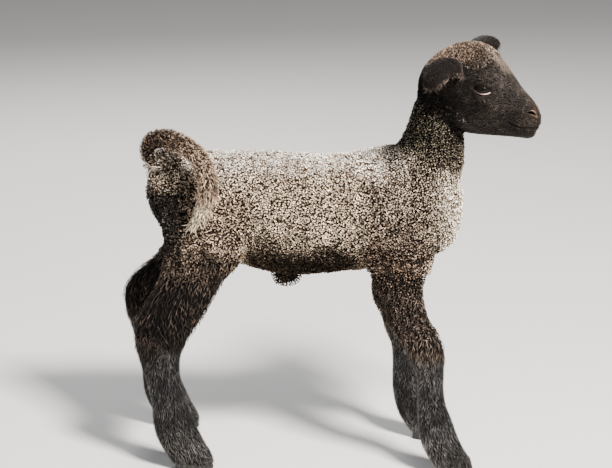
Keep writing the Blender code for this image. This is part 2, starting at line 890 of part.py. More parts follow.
def eyes():
    x, y, z = EYE_PLACE
    for side_name, side in SIDES.items():
        ball = on_head(ellipsoid("eye", (x, side * y, z), (EYE_RADIUS,) * 3, 14, 9))
        finished(ball, f"eye_{side_name}", EYE)


def ear(side_name, head_node):
    """A cupped leaf that stands out sideways, open below and a little to the front."""
    bm = bmesh.new()
    across = 8
    grid = []
    side = SIDES[side_name]
    ahead, out, up = EAR_REACH[side_name]
    open_way = Vector(EAR_OPENS).normalized()
    upward = Vector((-open_way.z, 0, open_way.x))
    for share, radius, half_angle in resampled(EAR_CUP, 9):
        middle = Vector(EAR_ROOT) + Vector((ahead * share, out * share, up * share**1.6))
        row = []
        for i in range(across + 1):
            angle = math.radians(half_angle) * (2 * i / across - 1)
            turned = math.sin(angle) * upward - math.cos(angle) * open_way
            point = middle + float(radius) * turned
            row.append(bm.verts.new(Vector((point.x, side * point.y, point.z)) * MM))
        grid.append(row)
    for low, high in zip(grid, grid[1:]):
        for i in range(across):
            bm.faces.new((low[i], low[i + 1], high[i + 1], high[i]))
    bmesh.ops.triangulate(bm, faces=bm.faces)
    item = on_head(object_from("ear", bm))
    solidify = item.modifiers.new("Wall", "SOLIDIFY")
    solidify.thickness = EAR_WALL * MM
    solidify.offset = 0
    freeze(item)
    bore = object_of("head_grown", head_node.data.copy())
    grow = bore.modifiers.new("Gap", "DISPLACE")
    grow.strength = GAP
    grow.mid_level = 0
    freeze(bore)
    boolean(item, "DIFFERENCE", [bore])
    return largest(item)


def ears(head_node):
    for side_name in SIDES:
        finished(ear(side_name, head_node), f"ear_{side_name}", FACE)


def tube(name, rows, sides=12):
    """A round tube along the rows' middle line."""
    curve = bpy.data.curves.new(name, "CURVE")
    curve.dimensions = "3D"
    curve.bevel_depth = 1
    curve.bevel_resolution = sides // 4 - 1
    curve.use_fill_caps = True
    spline = curve.splines.new("POLY")
    spline.points.add(len(rows) - 1)
    for point, (x, y, z, radius) in zip(spline.points, rows):
        point.co = (x * MM, y * MM, z * MM, 1)
        point.radius = radius * MM
    item = object_of(name, curve)
    graph = bpy.context.evaluated_depsgraph_get()
    graph.update()
    bm = bmesh.new()
    bm.from_mesh(item.evaluated_get(graph).to_mesh())
    remove([item])
    bmesh.ops.remove_doubles(bm, verts=bm.verts, dist=0.001 * MM)
    return object_from(name, bm)


def tail_core(radius):
    """The radius of the tail under its wool."""
    return max(0.45 * radius, radius - TAIL_WOOL_DEPTH)


def along_tail():
    """Closely spaced places on the tail's middle line: place, radius, way on, distance come."""
    rows = resampled(TAIL, 160)
    travelled = 0.0
    for (x, y, z, radius), ahead in zip(rows, rows[1:]):
        way = Vector(ahead[:3]) - Vector((x, y, z))
        travelled += way.length
        yield Vector((x, y, z)), radius, way.normalized(), travelled


def tail_clumps(rng):
    """Clumps that wind round the tail, from where it leaves the body to its tip."""
    made = []
    due = TAIL_WOOL_FROM
    for middle, radius, way, travelled in along_tail():
        if travelled < due or radius < 3.5:
            continue
        due = travelled + TAIL_CLUMP_STEP * radius
        first = Vector((0, 0, 1)).cross(way)
        first = (first if first.length > 0.1 else Vector((0, 1, 0))).normalized()
        angle = len(made) * TAIL_CLUMP_TURN + rng.uniform(-0.2, 0.2)
        normal = (Matrix.Rotation(angle, 3, way) @ first).normalized()
        core = tail_core(radius)
        place = (middle + normal * core * 0.9) * MM
        height = (radius - core * 0.9) * rng.uniform(0.88, 1.08)
        made.append(clump(place, normal, 0.8 * radius, height, 0.5 * core, rng))
    print("tail pieces:", len(made))
    return made


def tail_socket():
    """A cutter that leaves room for the tail: for its core in the body, its wool outside."""
    rows = []
    for middle, radius, _, travelled in along_tail():
        room = tail_core(radius) + 2 * GAP / MM
        if travelled > TAIL_WOOL_FROM - 10:
            room += min(1.0, (travelled - TAIL_WOOL_FROM + 10) / 5) * (0.6 * radius)
        if travelled > 75:
            break
        rows.append((*middle, room))
    return tube("socket", rows[::4])


def tail(rng):
    """The tail, parted into three lengths by thin cuts across it."""
    rows = resampled(TAIL, 40)
    item = tube("tail", [(x, y, z, tail_core(radius)) for x, y, z, radius in rows])
    boolean(item, "UNION", tail_clumps(rng))
    simplified(item, TAIL_TRIANGLES)
    cuts = []
    for share in TAIL_CUTS.values():
        place = share * (len(rows) - 1)
        row = rows[int(place)]
        ahead = Vector(rows[int(place) + 1][:3]) - Vector(rows[int(place) - 1][:3])
        cuts.append(plate(row[:3], ahead, row[3] + 6, row[3] + 6))
    boolean(item, "DIFFERENCE", cuts)
    pieces = surfaces(item, "tail_piece", 3)
    ends = {"tail_root": TAIL[3], "tail_arch": TAIL[7], "tail_end": TAIL[11]}
    for name, row in ends.items():
        place = Vector(row[:3]) * MM
        nearest = min(pieces, key=lambda piece: (centre_of(piece) - place).length)
        pieces.remove(nearest)
        finished(nearest, name, WOOL)


def centred(items):
    """Moves everything so that the middle of its box stands over the origin."""
    points = np.array([item.matrix_world @ vert.co for item in items for vert in item.data.vertices])
    middle = (points.max(axis=0) + points.min(axis=0)) / 2
    shift = Matrix.Translation((-middle[0], -middle[1], 0))
    for item in items:
        item.data.transform(shift)
    print("moved by", [round(-float(v) / MM, 2) for v in middle[:2]], "mm")


def main():
    remove(list(bpy.data.objects))
    rng = random.Random(SEED)
    skin = body_skin(0)
    head_node = head(skin, rng)
    remove([skin])
    body = body_skin(WOOL_DEPTH)
    coat = fleece(body, rng)
    simplified(body, BODY_TRIANGLES["core"])
    boolean(body, "UNION", coat)
    simplified(body, BODY_TRIANGLES["coat"])
    boolean(body, "DIFFERENCE", [tail_socket()])
    parted(body)
    eyes()
    ears(head_node)
    tail(rng)
    hooves()
    centred(list(bpy.context.scene.objects))


main()
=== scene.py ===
# %% [markdown]
# # A week-old Shropshire lamb at life size
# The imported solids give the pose, the sizes and the outline. This notebook gives the lamb its skin, its
# coat, its eyes and its hooves. The skin comes first, because every curl and hair is rooted on it.

# %% Load the frame
import math

import bpy
import numpy as np
from mathutils import Matrix, Vector


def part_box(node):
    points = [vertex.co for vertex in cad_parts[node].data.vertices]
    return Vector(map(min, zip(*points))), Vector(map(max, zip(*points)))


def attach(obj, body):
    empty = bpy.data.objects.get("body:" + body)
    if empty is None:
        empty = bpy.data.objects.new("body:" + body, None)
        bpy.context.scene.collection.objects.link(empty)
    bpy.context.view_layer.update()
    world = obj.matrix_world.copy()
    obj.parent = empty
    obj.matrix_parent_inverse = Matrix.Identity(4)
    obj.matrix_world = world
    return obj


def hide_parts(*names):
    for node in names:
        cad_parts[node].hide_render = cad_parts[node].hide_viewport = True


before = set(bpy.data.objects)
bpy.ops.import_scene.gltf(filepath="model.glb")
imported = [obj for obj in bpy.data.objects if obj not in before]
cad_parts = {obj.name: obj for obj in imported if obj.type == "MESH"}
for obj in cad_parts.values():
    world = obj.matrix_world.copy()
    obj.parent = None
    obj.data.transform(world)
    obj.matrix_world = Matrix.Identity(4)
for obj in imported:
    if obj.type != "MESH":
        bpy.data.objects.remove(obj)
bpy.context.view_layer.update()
bpy.ops.object.select_all(action="DESELECT")
MM = 0.001
SIDES = {"right": -1, "left": 1}
chance = np.random.default_rng(11)
print("solids:", len(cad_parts), "nodes")

# %% [markdown]
# ## The body's sizes
# A body is easiest to describe by slices, as a sculptor's templates do: one row for each slice, in
# millimetres, with the lamb's right side at -Y and its nose towards +X. The rows are the ones that the
# solids were made from, so the skin lies inside the solids all round.

# %% Slices of the torso, neck and legs
# Torso: x, top, bottom, height of the widest line, half width
TORSO = [
    (-176, 326, 300, 313, 9),
    (-170, 336, 280, 310, 27),
    (-160, 345, 262, 305, 38),
    (-145, 351, 250, 300, 46),
    (-120, 355, 240, 298, 52),
    (-95, 356, 232, 295, 55),
    (-70, 357, 223, 292, 58),
    (-45, 357, 216, 288, 61),
    (-15, 356, 212, 285, 63),
    (15, 354, 214, 285, 63),
    (45, 357, 218, 287, 61),
    (70, 362, 221, 290, 58),
    (95, 367, 224, 292, 54),
    (115, 368, 228, 294, 49),
    (135, 361, 234, 294, 43),
    (150, 349, 240, 294, 36),
    (163, 334, 253, 294, 27),
    (171, 316, 272, 295, 13),
]
# Neck: z, back edge, front edge, half width
NECK = [
    (285, 62, 164, 46),
    (300, 66, 169, 48),
    (318, 72, 173, 46),
    (336, 82, 177, 42),
    (354, 93, 178, 38),
    (370, 103, 179, 35),
    (385, 110, 179, 34),
    (400, 114, 178, 33),
    (415, 118, 176, 32),
    (430, 124, 174, 30),
    (440, 132, 168, 22),
]
# Legs: z, back edge, front edge, distance of the leg's middle from the midplane, half width
FORE_LEG = [
    (285, 74, 150, 38, 15),
    (262, 70, 150, 41, 21),
    (245, 70, 148, 43, 23),
    (229, 74, 139, 45, 23),
    (213, 82, 135, 47, 22),
    (195, 90, 137, 49, 20.5),
    (178, 94, 142, 51, 19),
    (165, 101, 151, 53, 18.5),
    (151, 110, 158.5, 54, 18),
    (135, 119, 160, 55, 16),
    (117, 127, 160, 55, 14),
    (98, 129.5, 160, 55, 14),
    (80, 129.5, 163, 55, 15),
    (62, 130, 170, 55.5, 17),
    (45, 132, 176, 56, 17),
    (30, 136, 183, 56, 16.5),
    (17, 143, 191, 56, 17),
    (6, 150, 194, 56, 17),
]
HIND_LEG = [
    (310, -158, -74, 33, 22),
    (285, -162, -64, 37, 29),
    (262, -158, -60, 41, 31),
    (240, -157, -67, 45, 29),
    (224, -160, -82, 48, 27),
    (207, -167, -92, 51, 25),
    (190, -178, -101, 54, 22),
    (175, -187, -110, 57, 19.5),
    (163, -190, -118, 59, 18),
    (150, -189, -127, 60.5, 17),
    (135, -186, -134, 61.5, 16),
    (118, -181, -136, 62.5, 15),
    (97, -174.5, -134, 63.5, 15),
    (76, -170, -127.5, 64.5, 16.5),
    (58, -169, -121.5, 65, 17.5),
    (43, -167, -115, 65, 17),
    (29, -162, -108, 65, 16.5),
    (17, -155, -101, 65, 17),
    (6, -148, -98, 65, 17),
]
# How the left legs stand against the right ones: z, shift in x, lift
FORE_SHIFT = [(0, -31, 0), (60, -33, 0), (130, -33, 0), (190, -20, 0), (245, 0, 0), (320, 0, 0)]
HIND_SHIFT = [
    (0, -35, 0),
    (60, -34, 1),
    (100, -33, 4),
    (165, -33, 9),
    (190, -27, 8),
    (215, -18, 4),
    (262, 0, 0),
    (320, 0, 0),
]
LEGS = {"fore": (FORE_LEG, FORE_SHIFT), "hind": (HIND_LEG, HIND_SHIFT)}
NAVEL = ((-22, 0, 213), (14, 7, 11))
HOOF_TOP = 15

# %% Slices of the head, its swellings, the ears and the tail
HEAD_PIVOT = Vector((150, 0, 0))
HEAD_YAW = math.radians(-17)
# Head, in its own frame: forward of the pivot, top, bottom, widest line, half width, jaw taper
HEAD = [
    (-23, 444, 412, 430, 12, 0.0),
    (-15, 458, 402, 434, 26, 0.1),
    (0, 472, 392, 438, 33, 0.15),
    (15, 480, 386, 440, 35, 0.25),
    (30, 483, 381, 440, 35, 0.35),
    (45, 482, 380, 439, 34.5, 0.42),
    (58, 475, 380, 436, 32.5, 0.45),
    (70, 463, 380, 430, 27.5, 0.42),
    (80, 449.5, 380, 421, 23.5, 0.4),
    (90, 437, 380, 413, 21, 0.3),
    (98, 429, 381, 408, 19.5, 0.25),
    (104, 422.5, 384, 405, 17, 0.2),
    (109, 414, 390, 403, 12.5, 0.1),
    (112.5, 407, 398, 402, 5, 0.0),
]
# Swellings on both sides of the head: place, radii
CHEEK = ((27, 15, 411), (27, 13, 22))
BROW = ((54, 22, 447), (18, 13, 10))
MUZZLE = ((97, 11, 404), (12, 10, 12))
CHIN = ((98, 0, 386), (11, 11, 6))
EYE_PLACE = (54.5, 24.6, 437)
EYE_RADIUS = 10.5
LID_THICKNESS = 1.9
EYE_OPENING = (20, 8)  # length and height between the lids
EYE_SLANT = math.radians(13)  # the corner towards the nose is the lower one
NOSTRIL_PLACE = (105.5, 10.5, 411.5)
NOSTRIL_RADII = (5.6, 5.0, 1.9)
# Line of the mouth from its corner to the lips: forward, height
MOUTH = [(80, 402.5), (87, 398.8), (95, 396.8), (104, 396), (126, 395)]
EAR_ROOT = (22, 29, 458)
EAR_REACH = {"right": (-1, 66, -13), "left": (8, 66, 4)}  # from the root to the tip
EAR_OPENS = (0.42, 0, -0.91)
# Ear: share of the length, radius of the cup, half of the angle that its wall spans
EAR_CUP = [
    (0.0, 9, 165),
    (0.2, 12.5, 140),
    (0.4, 16.5, 108),
    (0.6, 17.5, 92),
    (0.8, 14.5, 80),
    (0.93, 8.5, 72),
    (1.0, 3.0, 65),
]
EAR_WALL = 3.0
EAR_ROWS, EAR_COLUMNS = 30, 20  # stations along the ear, and squares across its sheet
# Tail: x, y, z of the middle of the tail, radius
TAIL = [
    (-150, 0, 322, 8),
    (-163, 0, 329, 9),
    (-174, -1, 339, 9.5),
    (-178, -5, 352, 10.5),
    (-174, -10, 364, 11.5),
    (-164, -18, 370.5, 12),
    (-151, -27, 373, 12.2),
    (-135, -40, 371, 12.2),
    (-120, -53, 365, 12.4),
    (-108, -64, 355, 12.8),
    (-101.5, -72, 341, 13),
    (-100.5, -75.5, 326, 12.8),
    (-104, -77, 312, 11),
    (-110, -77.5, 299, 8),
    (-116, -77.5, 289, 4.5),
    (-119, -77.5, 284, 1.5),
]
THROAT = ((149, 0, 401), (0.66, 0, 0.75))  # a place on the plane between head and neck, its normal
SHAG_TOP = {"fore": 240, "hind": 252}  # height where the fleece gives way to wavy locks
SHAG_END = {"fore": 146, "hind": 152}  # height where the locks give way to short hair

# %% [markdown]
# ## Depth of the coat
# A lamb's outline is its coat's outline. The skin lies deeper: seven millimetres under the curls of the
# fleece, a few under the locks of the upper legs, and little more than one under the short hair of the
# face and shanks.

# %% Coat depths
WOOL_DEPTH = 7.0
TAIL_WOOL_DEPTH = 4.6
SHAG_DEPTH = 3.4
SHORT_DEPTH = 1.3
VOXEL = 1.3  # size of the cells in which the forms become one skin
BODY_SMOOTHING = 42  # passes over the body, and over the thin ears and tail
EAR_SMOOTHING = 5
BODY_KEPT = 0.15  # share of the faces that the body keeps, from a few millimetres behind the throat
BODY_START = 6
SLICES = {"torso": 70, "neck": 40, "leg": 80, "head": 60, "tail": 120}  # after smoothing the tables

# %% Helpers that read the tables


def resampled(stations, count):
    """The table read at evenly spaced places on a Catmull-Rom curve through its rows."""
    rows = np.array(stations, float)
    rows = np.vstack([2 * rows[0] - rows[1], rows, 2 * rows[-1] - rows[-2]])
    made = []
    for place in np.linspace(0, len(stations) - 1, count):
        first = min(int(place), len(stations) - 2)
        t = place - first
        a, b, c, d = rows[first : first + 4]
        slopes = c - a + t * (2 * a - 5 * b + 4 * c - d + t * (3 * (b - c) + d - a))
        made.append(b + 0.5 * t * slopes)
    return np.array(made)


def column_at(table, z, column):
    """The table's column at that height."""
    rows = sorted(table)
    return np.interp(z, [row[0] for row in rows], [row[column] for row in rows])


def ease(value, low, high):
    """A soft step from 0 at low to 1 at high."""
    t = np.clip((np.asarray(value, float) - low) / (high - low), 0, 1)
    return t * t * (3 - 2 * t)


def unit(vectors):
    return vectors / (np.linalg.norm(vectors, axis=-1, keepdims=True) + 1e-9)


def square_to(ways, normals):
    """The part of each way that stands square to its normal, at length 1."""
    return unit(ways - normals * (ways * normals).sum(axis=1, keepdims=True))


def scatter(cells, seed):
    """A fixed random value from -1 to 1 for each cell of a grid."""
    mixed = np.sin(cells @ np.array((127.1, 311.7, 74.7)) + seed * 19.19) * 43758.5453
    return 2 * (mixed - np.floor(mixed)) - 1


def ripple(points, size, seed=0):
    """Smooth noise from -1 to 1 whose swellings are about that size, in one number or three."""
    places = points / np.asarray(size, float)
    cells = np.floor(places)
    share = places - cells
    share = share * share * (3 - 2 * share)
    total = np.zeros(len(points))
    for corner in np.ndindex(2, 2, 2):
        weight = np.prod(np.where(corner, share, 1 - share), axis=1)
        total += weight * scatter(cells + corner, seed)
    return total


# %% [markdown]
# ## Working with objects
# Most steps act on one object at a time. An operator takes all that is selected, so a small helper
# selects just the one, and others open it in edit mode, smooth it, or add a modifier and apply it.

# %% Helpers for objects


def only(item):
    """Selects one object and makes it active."""
    bpy.ops.object.select_all(action="DESELECT")
    item.select_set(True)
    bpy.context.view_layer.objects.active = item
    return item


def edit_all(item):
    """Opens one object in edit mode with all of it selected."""
    only(item)
    bpy.ops.object.mode_set(mode="EDIT")
    bpy.ops.mesh.select_all(action="SELECT")


def leave_edit():
    bpy.ops.object.mode_set(mode="OBJECT")


def smooth(item):
    only(item)
    bpy.ops.object.shade_smooth()
    return item


def applied(item, kind, **settings):
    """Adds a modifier with these settings and applies it."""
    modifier = only(item).modifiers.new(kind, kind)
    for setting, value in settings.items():
        setattr(modifier, setting, value)
    bpy.ops.object.modifier_apply(modifier=modifier.name)
    return item


def outwards(item):
    """Turns the faces of a closed mesh outwards."""
    edit_all(item)
    bpy.ops.mesh.normals_make_consistent(inside=False)
    leave_edit()
    return item


def from_faces(name, points, faces):
    """An object from points in millimetres and faces."""
    mesh = bpy.data.meshes.new(name)
    mesh.from_pydata([Vector(point) * MM for point in points], [], faces)
    item = bpy.data.objects.new(name, mesh)
    bpy.context.scene.collection.objects.link(item)
    return item


def wall_faces(levels, sides):
    """The squares of a tube's wall, each between one ring of points and the next."""
    faces = []
    for low in range(0, (levels - 1) * sides, sides):
        for i in range(sides):
            after = (i + 1) % sides
            faces.append((low + i, low + after, low + sides + after, low + sides + i))
    return faces


def loft(name, rings):
    """A closed tube through rings of points, with a flat cap at each end."""
    sides = len(rings[0])
    faces = wall_faces(len(rings), sides)
    faces.append(tuple(range(sides)))
    faces.append(tuple((len(rings) - 1) * sides + i for i in range(sides)))
    return outwards(from_faces(name, [point for ring in rings for point in ring], faces))


def ellipsoid(name, centre, radii, segments=24, rings=14):
    bpy.ops.mesh.primitive_uv_sphere_add(
        segments=segments,
        ring_count=rings,
        radius=MM,
        location=Vector(centre) * MM,
        scale=radii,
    )
    item = bpy.context.object
    item.name = name
    only(item)
    bpy.ops.object.transform_apply(location=True, rotation=True, scale=True)
    return item


# %% [markdown]
# ## Where the head turns
# The head is described looking straight ahead, and turned a little to the lamb's right round a line
# through the top of the neck. The solids stand with the middle of their box over the origin, so the
# place of an eye in the solids tells how far they were moved from the tables.

# %% Head frame and the solids' place
HEAD_YAW_TURN = Matrix.Rotation(HEAD_YAW, 4, "Z")
TO_WORLD = np.array(Matrix.Translation(HEAD_PIVOT) @ HEAD_YAW_TURN)
TO_HEAD = np.linalg.inv(TO_WORLD)
EAR_FACES = unit(np.array(EAR_OPENS, float))  # the way that the cup of an ear opens, in the head's frame


def way_from_head(ways):
    return ways @ TO_WORLD[:3, :3].T


def way_in_head(ways):
    return ways @ TO_HEAD[:3, :3].T


def from_head(points):
    return way_from_head(np.asarray(points, float)) + TO_WORLD[:3, 3]


def in_head(points):
    return way_in_head(np.asarray(points, float)) + TO_HEAD[:3, 3]


def on_side(place, side):
    return np.array((place[0], side * place[1], place[2]), float)


eye_low, eye_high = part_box("eye_right")
STAND = (eye_low + eye_high) / 2 - Vector(from_head(on_side(EYE_PLACE, -1))) * MM
print("the solids stand", [round(value / MM, 2) for value in STAND], "mm from the tables")

# %% [markdown]
# ## The forms under the coat
# Each part of the body is a closed loft through its slices, drawn in by the depth of the coat there. The
# forms overlap, and a voxel remesh then makes them one.

# %% Rings


def upright_ring(x, top, bottom, widest, half_width, taper=0.0, sides=36):
    """An egg-shaped ring across the body, with the jaw drawn in below its widest line."""
    angles = np.arange(sides) * math.tau / sides
    up = np.cos(angles)
    reach = np.where(up > 0, top - widest, widest - bottom)
    width = half_width * np.sin(angles) * (1 - taper * np.maximum(0, -up) ** 1.5)
    return np.stack([np.full(sides, x), width, widest + reach * up], axis=1)


def level_ring(z, back, front, middle, half_width, sides=28):
    """An ellipse at one height, as a slice through a leg or the neck."""
    angles = np.arange(sides) * math.tau / sides
    x = (back + front) / 2 + (front - back) / 2 * np.cos(angles)
    return np.stack([x, middle + half_width * np.sin(angles), np.full(sides, z)], axis=1)


# %% Torso, neck and legs


def torso_form():
    rings = []
    for x, top, bottom, widest, half_width in resampled(TORSO, SLICES["torso"]):
        width = max(3.0, half_width - WOOL_DEPTH)
        rings.append(upright_ring(x, top - WOOL_DEPTH, bottom + WOOL_DEPTH, widest, width))
    return loft("torso_form", rings)


def neck_form():
    rings = []
    for z, back, front, half_width in resampled(NECK, SLICES["neck"]):
        inset = WOOL_DEPTH
        rings.append(level_ring(z, back + inset, front - inset, 0, half_width - inset))
    return loft("neck_form", rings)


def leg_depth(kind, z):
    """How far the skin of a leg lies under the tips of its hair at that height."""
    heights = (SHAG_END[kind] - 12, SHAG_END[kind] + 14, SHAG_TOP[kind] - 12, SHAG_TOP[kind] + 12)
    return float(np.interp(z, heights, (SHORT_DEPTH, SHAG_DEPTH, SHAG_DEPTH, WOOL_DEPTH)))


def leg_form(kind, side):
    table, shifts = LEGS[kind]
    rings = []
    for z, back, front, middle, half_width in resampled(table, SLICES["leg"]):
        shift = column_at(shifts, z, 1) if side > 0 else 0
        lift = column_at(shifts, z, 2) if side > 0 else 0
        inset = leg_depth(kind, z)
        edges = (back + shift + inset, front + shift - inset)
        narrower = 9 * ease(z, table[0][0] - 40, table[0][0])
        width = max(2.0, half_width - inset - narrower)
        rings.append(level_ring(z + lift, *edges, side * (middle - narrower), width))
    return loft("leg_form", rings)


# %% Head


def head_forms():
    """The skull and muzzle, with the swellings of cheek, brow, lips and chin."""
    d = SHORT_DEPTH
    rings = [
        upright_ring(x, top - d, bottom + d, widest, max(2.0, half - d), taper)
        for x, top, bottom, widest, half, taper in resampled(HEAD, SLICES["head"])
    ]
    forms = [loft("head_form", rings)]
    for place, radii in (CHEEK, BROW, MUZZLE):
        for side in SIDES.values():
            forms.append(ellipsoid("swelling", on_side(place, side), [r - d for r in radii]))
    forms.append(ellipsoid("chin", CHIN[0], [r - d for r in CHIN[1]]))
    for form in forms:
        form.data.transform(Matrix.Translation(HEAD_PIVOT * MM) @ HEAD_YAW_TURN)
    return forms


# %% [markdown]
# ## Ears
# A lamb's ear is a cupped leaf that stands out sideways. A sheet is bent round the ear's length, wide in
# the middle and closing to a tube at its root, and gets its wall from a Solidify modifier. It is part of
# the same skin, so no seam shows where it leaves the head.

# %% Ear


def ear_form(side_name):
    side = SIDES[side_name]
    ahead, out, up = EAR_REACH[side_name]
    upward = np.array((-EAR_FACES[2], 0, EAR_FACES[0]))
    wide = EAR_COLUMNS + 1
    points = []
    for share, radius, half_angle in resampled(EAR_CUP, EAR_ROWS):
        middle = np.array(EAR_ROOT) + (ahead * share, out * share, up * share**1.6)
        for angle in np.radians(half_angle) * np.linspace(-1, 1, wide):
            point = middle + radius * (math.sin(angle) * upward - math.cos(angle) * EAR_FACES)
            points.append((point[0], side * point[1], point[2]))
    faces = []
    for row in range(EAR_ROWS - 1):
        for first in range(row * wide, row * wide + EAR_COLUMNS):
            faces.append((first, first + 1, first + wide + 1, first + wide))
    item = from_faces("ear_form", from_head(points), faces)
    return applied(item, "SOLIDIFY", thickness=EAR_WALL * MM, offset=0)


# %% [markdown]
# ## Tail
# The tail's middle line runs up from the rump, over it and down its right side. A tube follows it. The
# same routine sweeps every curl and hair later: rings are carried along many lines at once, each turned
# no more than its line turns.

# %% Sweeping rings along lines


def swept(lines, side, width, thickness, sides):
    """Rings round each station of each line: an array of lines, stations, sides and three."""
    way = unit(np.gradient(lines, axis=1))
    angles = np.arange(sides) * math.tau / sides
    rings = np.empty((*lines.shape[:2], sides, 3))
    for i in range(lines.shape[1]):
        ahead = way[:, i]
        side = square_to(side, ahead)
        up = np.cross(ahead, side)
        reach = side[:, None] * (np.cos(angles)[:, None] * width[:, i, None, None])
        rise = up[:, None] * (np.sin(angles)[:, None] * thickness[:, i, None, None])
        rings[:, i] = lines[:, i, None] + reach + rise
    return rings


TAIL_ROWS = resampled(TAIL, SLICES["tail"])
TAIL_WAY = unit(np.gradient(TAIL_ROWS[:, :3], axis=0))
TAIL_CORE = np.maximum(0.45 * TAIL_ROWS[:, 3], TAIL_ROWS[:, 3] - TAIL_WOOL_DEPTH)


def tail_form():
    core = TAIL_CORE[None]
    rings = swept(TAIL_ROWS[None, :, :3], np.array([[0.0, 1.0, 0.0]]), core, core, 20)
    return loft("tail_form", rings[0])


def near_tail(points):
    """Distance of each place from the tail's middle line, and the nearest row of the tail."""
    gaps = np.linalg.norm(points[:, None] - TAIL_ROWS[None, ::2, :3], axis=2)
    nearest = gaps.argmin(axis=1)
    return gaps[np.arange(len(points)), nearest], nearest * 2


# %% [markdown]
# ## One skin
# A voxel remesh turns the overlapping forms into one closed surface. Smoothing then lets the neck flow
# into the shoulders and the legs into the body, as flesh does. The ears and the tail are thin, so they get
# less of it by a vertex group. Behind the head the coat hides the skin, so fewer triangles do there.

# %% Make the skin


def points_of(item):
    """The vertices in millimetres, in the frame of the tables."""
    flat = np.empty(len(item.data.vertices) * 3, np.float32)
    item.data.vertices.foreach_get("co", flat)
    return flat.reshape(-1, 3).astype(float) / MM


def normals_of(item):
    flat = np.empty(len(item.data.vertices) * 3, np.float32)
    item.data.vertex_normals.foreach_get("vector", flat)
    return flat.reshape(-1, 3).astype(float)


def set_points(item, points):
    item.data.vertices.foreach_set("co", (points * MM).astype(np.float32).ravel())
    item.data.update()


def behind_throat(points):
    """How far a place lies on the neck's side of the plane at the throat."""
    place, normal = np.array(THROAT[0], float), unit(np.array(THROAT[1], float))
    return (place - points) @ normal


def ear_share(points):
    """1 on the ears, 0 on the head, easing from one to the other at the ears' roots."""
    ahead, across, up = in_head(points).T
    region = (behind_throat(points) < 4) & (ahead > -25) & (ahead < 62) & (up > 418)
    return ease(np.abs(across), 31, 37) * region


def weighted(item, name, weights):
    """A vertex group with those weights, in steps of a tenth."""
    group = item.vertex_groups.new(name=name)
    for step in range(1, 11):
        chosen = np.flatnonzero(np.round(weights * 10) == step)
        if len(chosen):
            group.add(chosen.tolist(), step / 10, "REPLACE")
    return group.name


def joined_skin():
    forms = [torso_form(), neck_form(), *head_forms(), ellipsoid("navel", *NAVEL), tail_form()]
    for side_name, side in SIDES.items():
        forms += [leg_form("fore", side), leg_form("hind", side), ear_form(side_name)]
    bpy.ops.object.select_all(action="DESELECT")
    for form in forms:
        form.select_set(True)
    bpy.context.view_layer.objects.active = forms[0]
    bpy.ops.object.join()
    item = bpy.context.object
    item.name = "skin"
    return applied(item, "REMESH", mode="VOXEL", voxel_size=VOXEL * MM)


def smoothed_skin(item):
    """Smooths the body much, and the ears and the tail that stands clear of the rump little."""
    points = points_of(item)
    gap, _ = near_tail(points)
    on_tail = (gap < 14) & (points[:, 2] > 280)
    thin = np.maximum(ear_share(points), 0.8 * on_tail)
    calm = weighted(item, "calm", 1 - thin)
    fine = weighted(item, "fine", thin)
    applied(item, "SMOOTH", factor=0.5, iterations=BODY_SMOOTHING, vertex_group=calm)
    applied(item, "SMOOTH", factor=0.5, iterations=EAR_SMOOTHING, vertex_group=fine)
    item.vertex_groups.clear()
    return item


def select_vertices(item, chosen):
    """Selects those vertices, and leaves the object in edit mode."""
    only(item)
    bpy.ops.object.mode_set(mode="EDIT")
    bpy.ops.mesh.select_mode(type="VERT")
    bpy.ops.mesh.select_all(action="DESELECT")
    leave_edit()
    item.data.vertices.foreach_set("select", np.asarray(chosen, bool))
    bpy.ops.object.mode_set(mode="EDIT")


skin = smoothed_skin(joined_skin())
select_vertices(skin, behind_throat(points_of(skin)) > BODY_START)
bpy.ops.mesh.decimate(ratio=BODY_KEPT)
leave_edit()
print("skin:", len(skin.data.polygons), "faces")

# %% [markdown]
# ## The eyes, nostrils and mouth
# The grid is too coarse for a lid, so the faces round the eyes, nostrils and lips are divided, and their
# points are then moved by rules, as by a sculptor's tools: lids rise over the eyeball to a thin rim,
# the nostrils sink, and a groove runs back from the lips to the corner of the mouth.

# %% Distances on the face


def lens_gap(points, side):
    """How far outside the opening between the lids a place is, and its place along and up it."""
    local = points - on_side(EYE_PLACE, side)
    along = local[:, 0] * math.cos(EYE_SLANT) - local[:, 2] * math.sin(EYE_SLANT)
    up = local[:, 0] * math.sin(EYE_SLANT) + local[:, 2] * math.cos(EYE_SLANT)
    share = np.clip(np.abs(2 * along / EYE_OPENING[0]), 0, 1)
    lid = EYE_OPENING[1] / 2 * (1 - share**2) ** 0.65
    beyond = np.maximum(np.abs(along) - EYE_OPENING[0] / 2, 0)
    gap = np.where(beyond > 0, np.hypot(beyond, up), np.abs(up) - lid)
    return gap, along, up


def nostril_share(points, side):
    """1 at the rim of the nostril, less inside it and more outside."""
    turn = Matrix.Rotation(side * math.radians(-30), 3, "Z") @ Matrix.Rotation(math.radians(22), 3, "Y")
    local = (points - on_side(NOSTRIL_PLACE, side)) @ np.array(turn)
    local[:, 2] += 0.05 * np.minimum(local[:, 0] ** 2, 64) - 0.4
    return np.linalg.norm(local / NOSTRIL_RADII, axis=1)


def mouth_gap(points):
    """How far above the line of the mouth a place is, and how much of the line is there."""
    height = np.interp(points[:, 0], [row[0] for row in MOUTH], [row[1] for row in MOUTH])
    return points[:, 2] - height, ease(points[:, 0], 79, 85)


def eye_side(points, side):
    """True near that side's eye."""
    place = on_side(EYE_PLACE, side)
    near = np.linalg.norm(points - place, axis=1) < EYE_RADIUS + 11
    return near & (side * points[:, 1] > EYE_PLACE[1] - 6)


# %% Divide the faces there


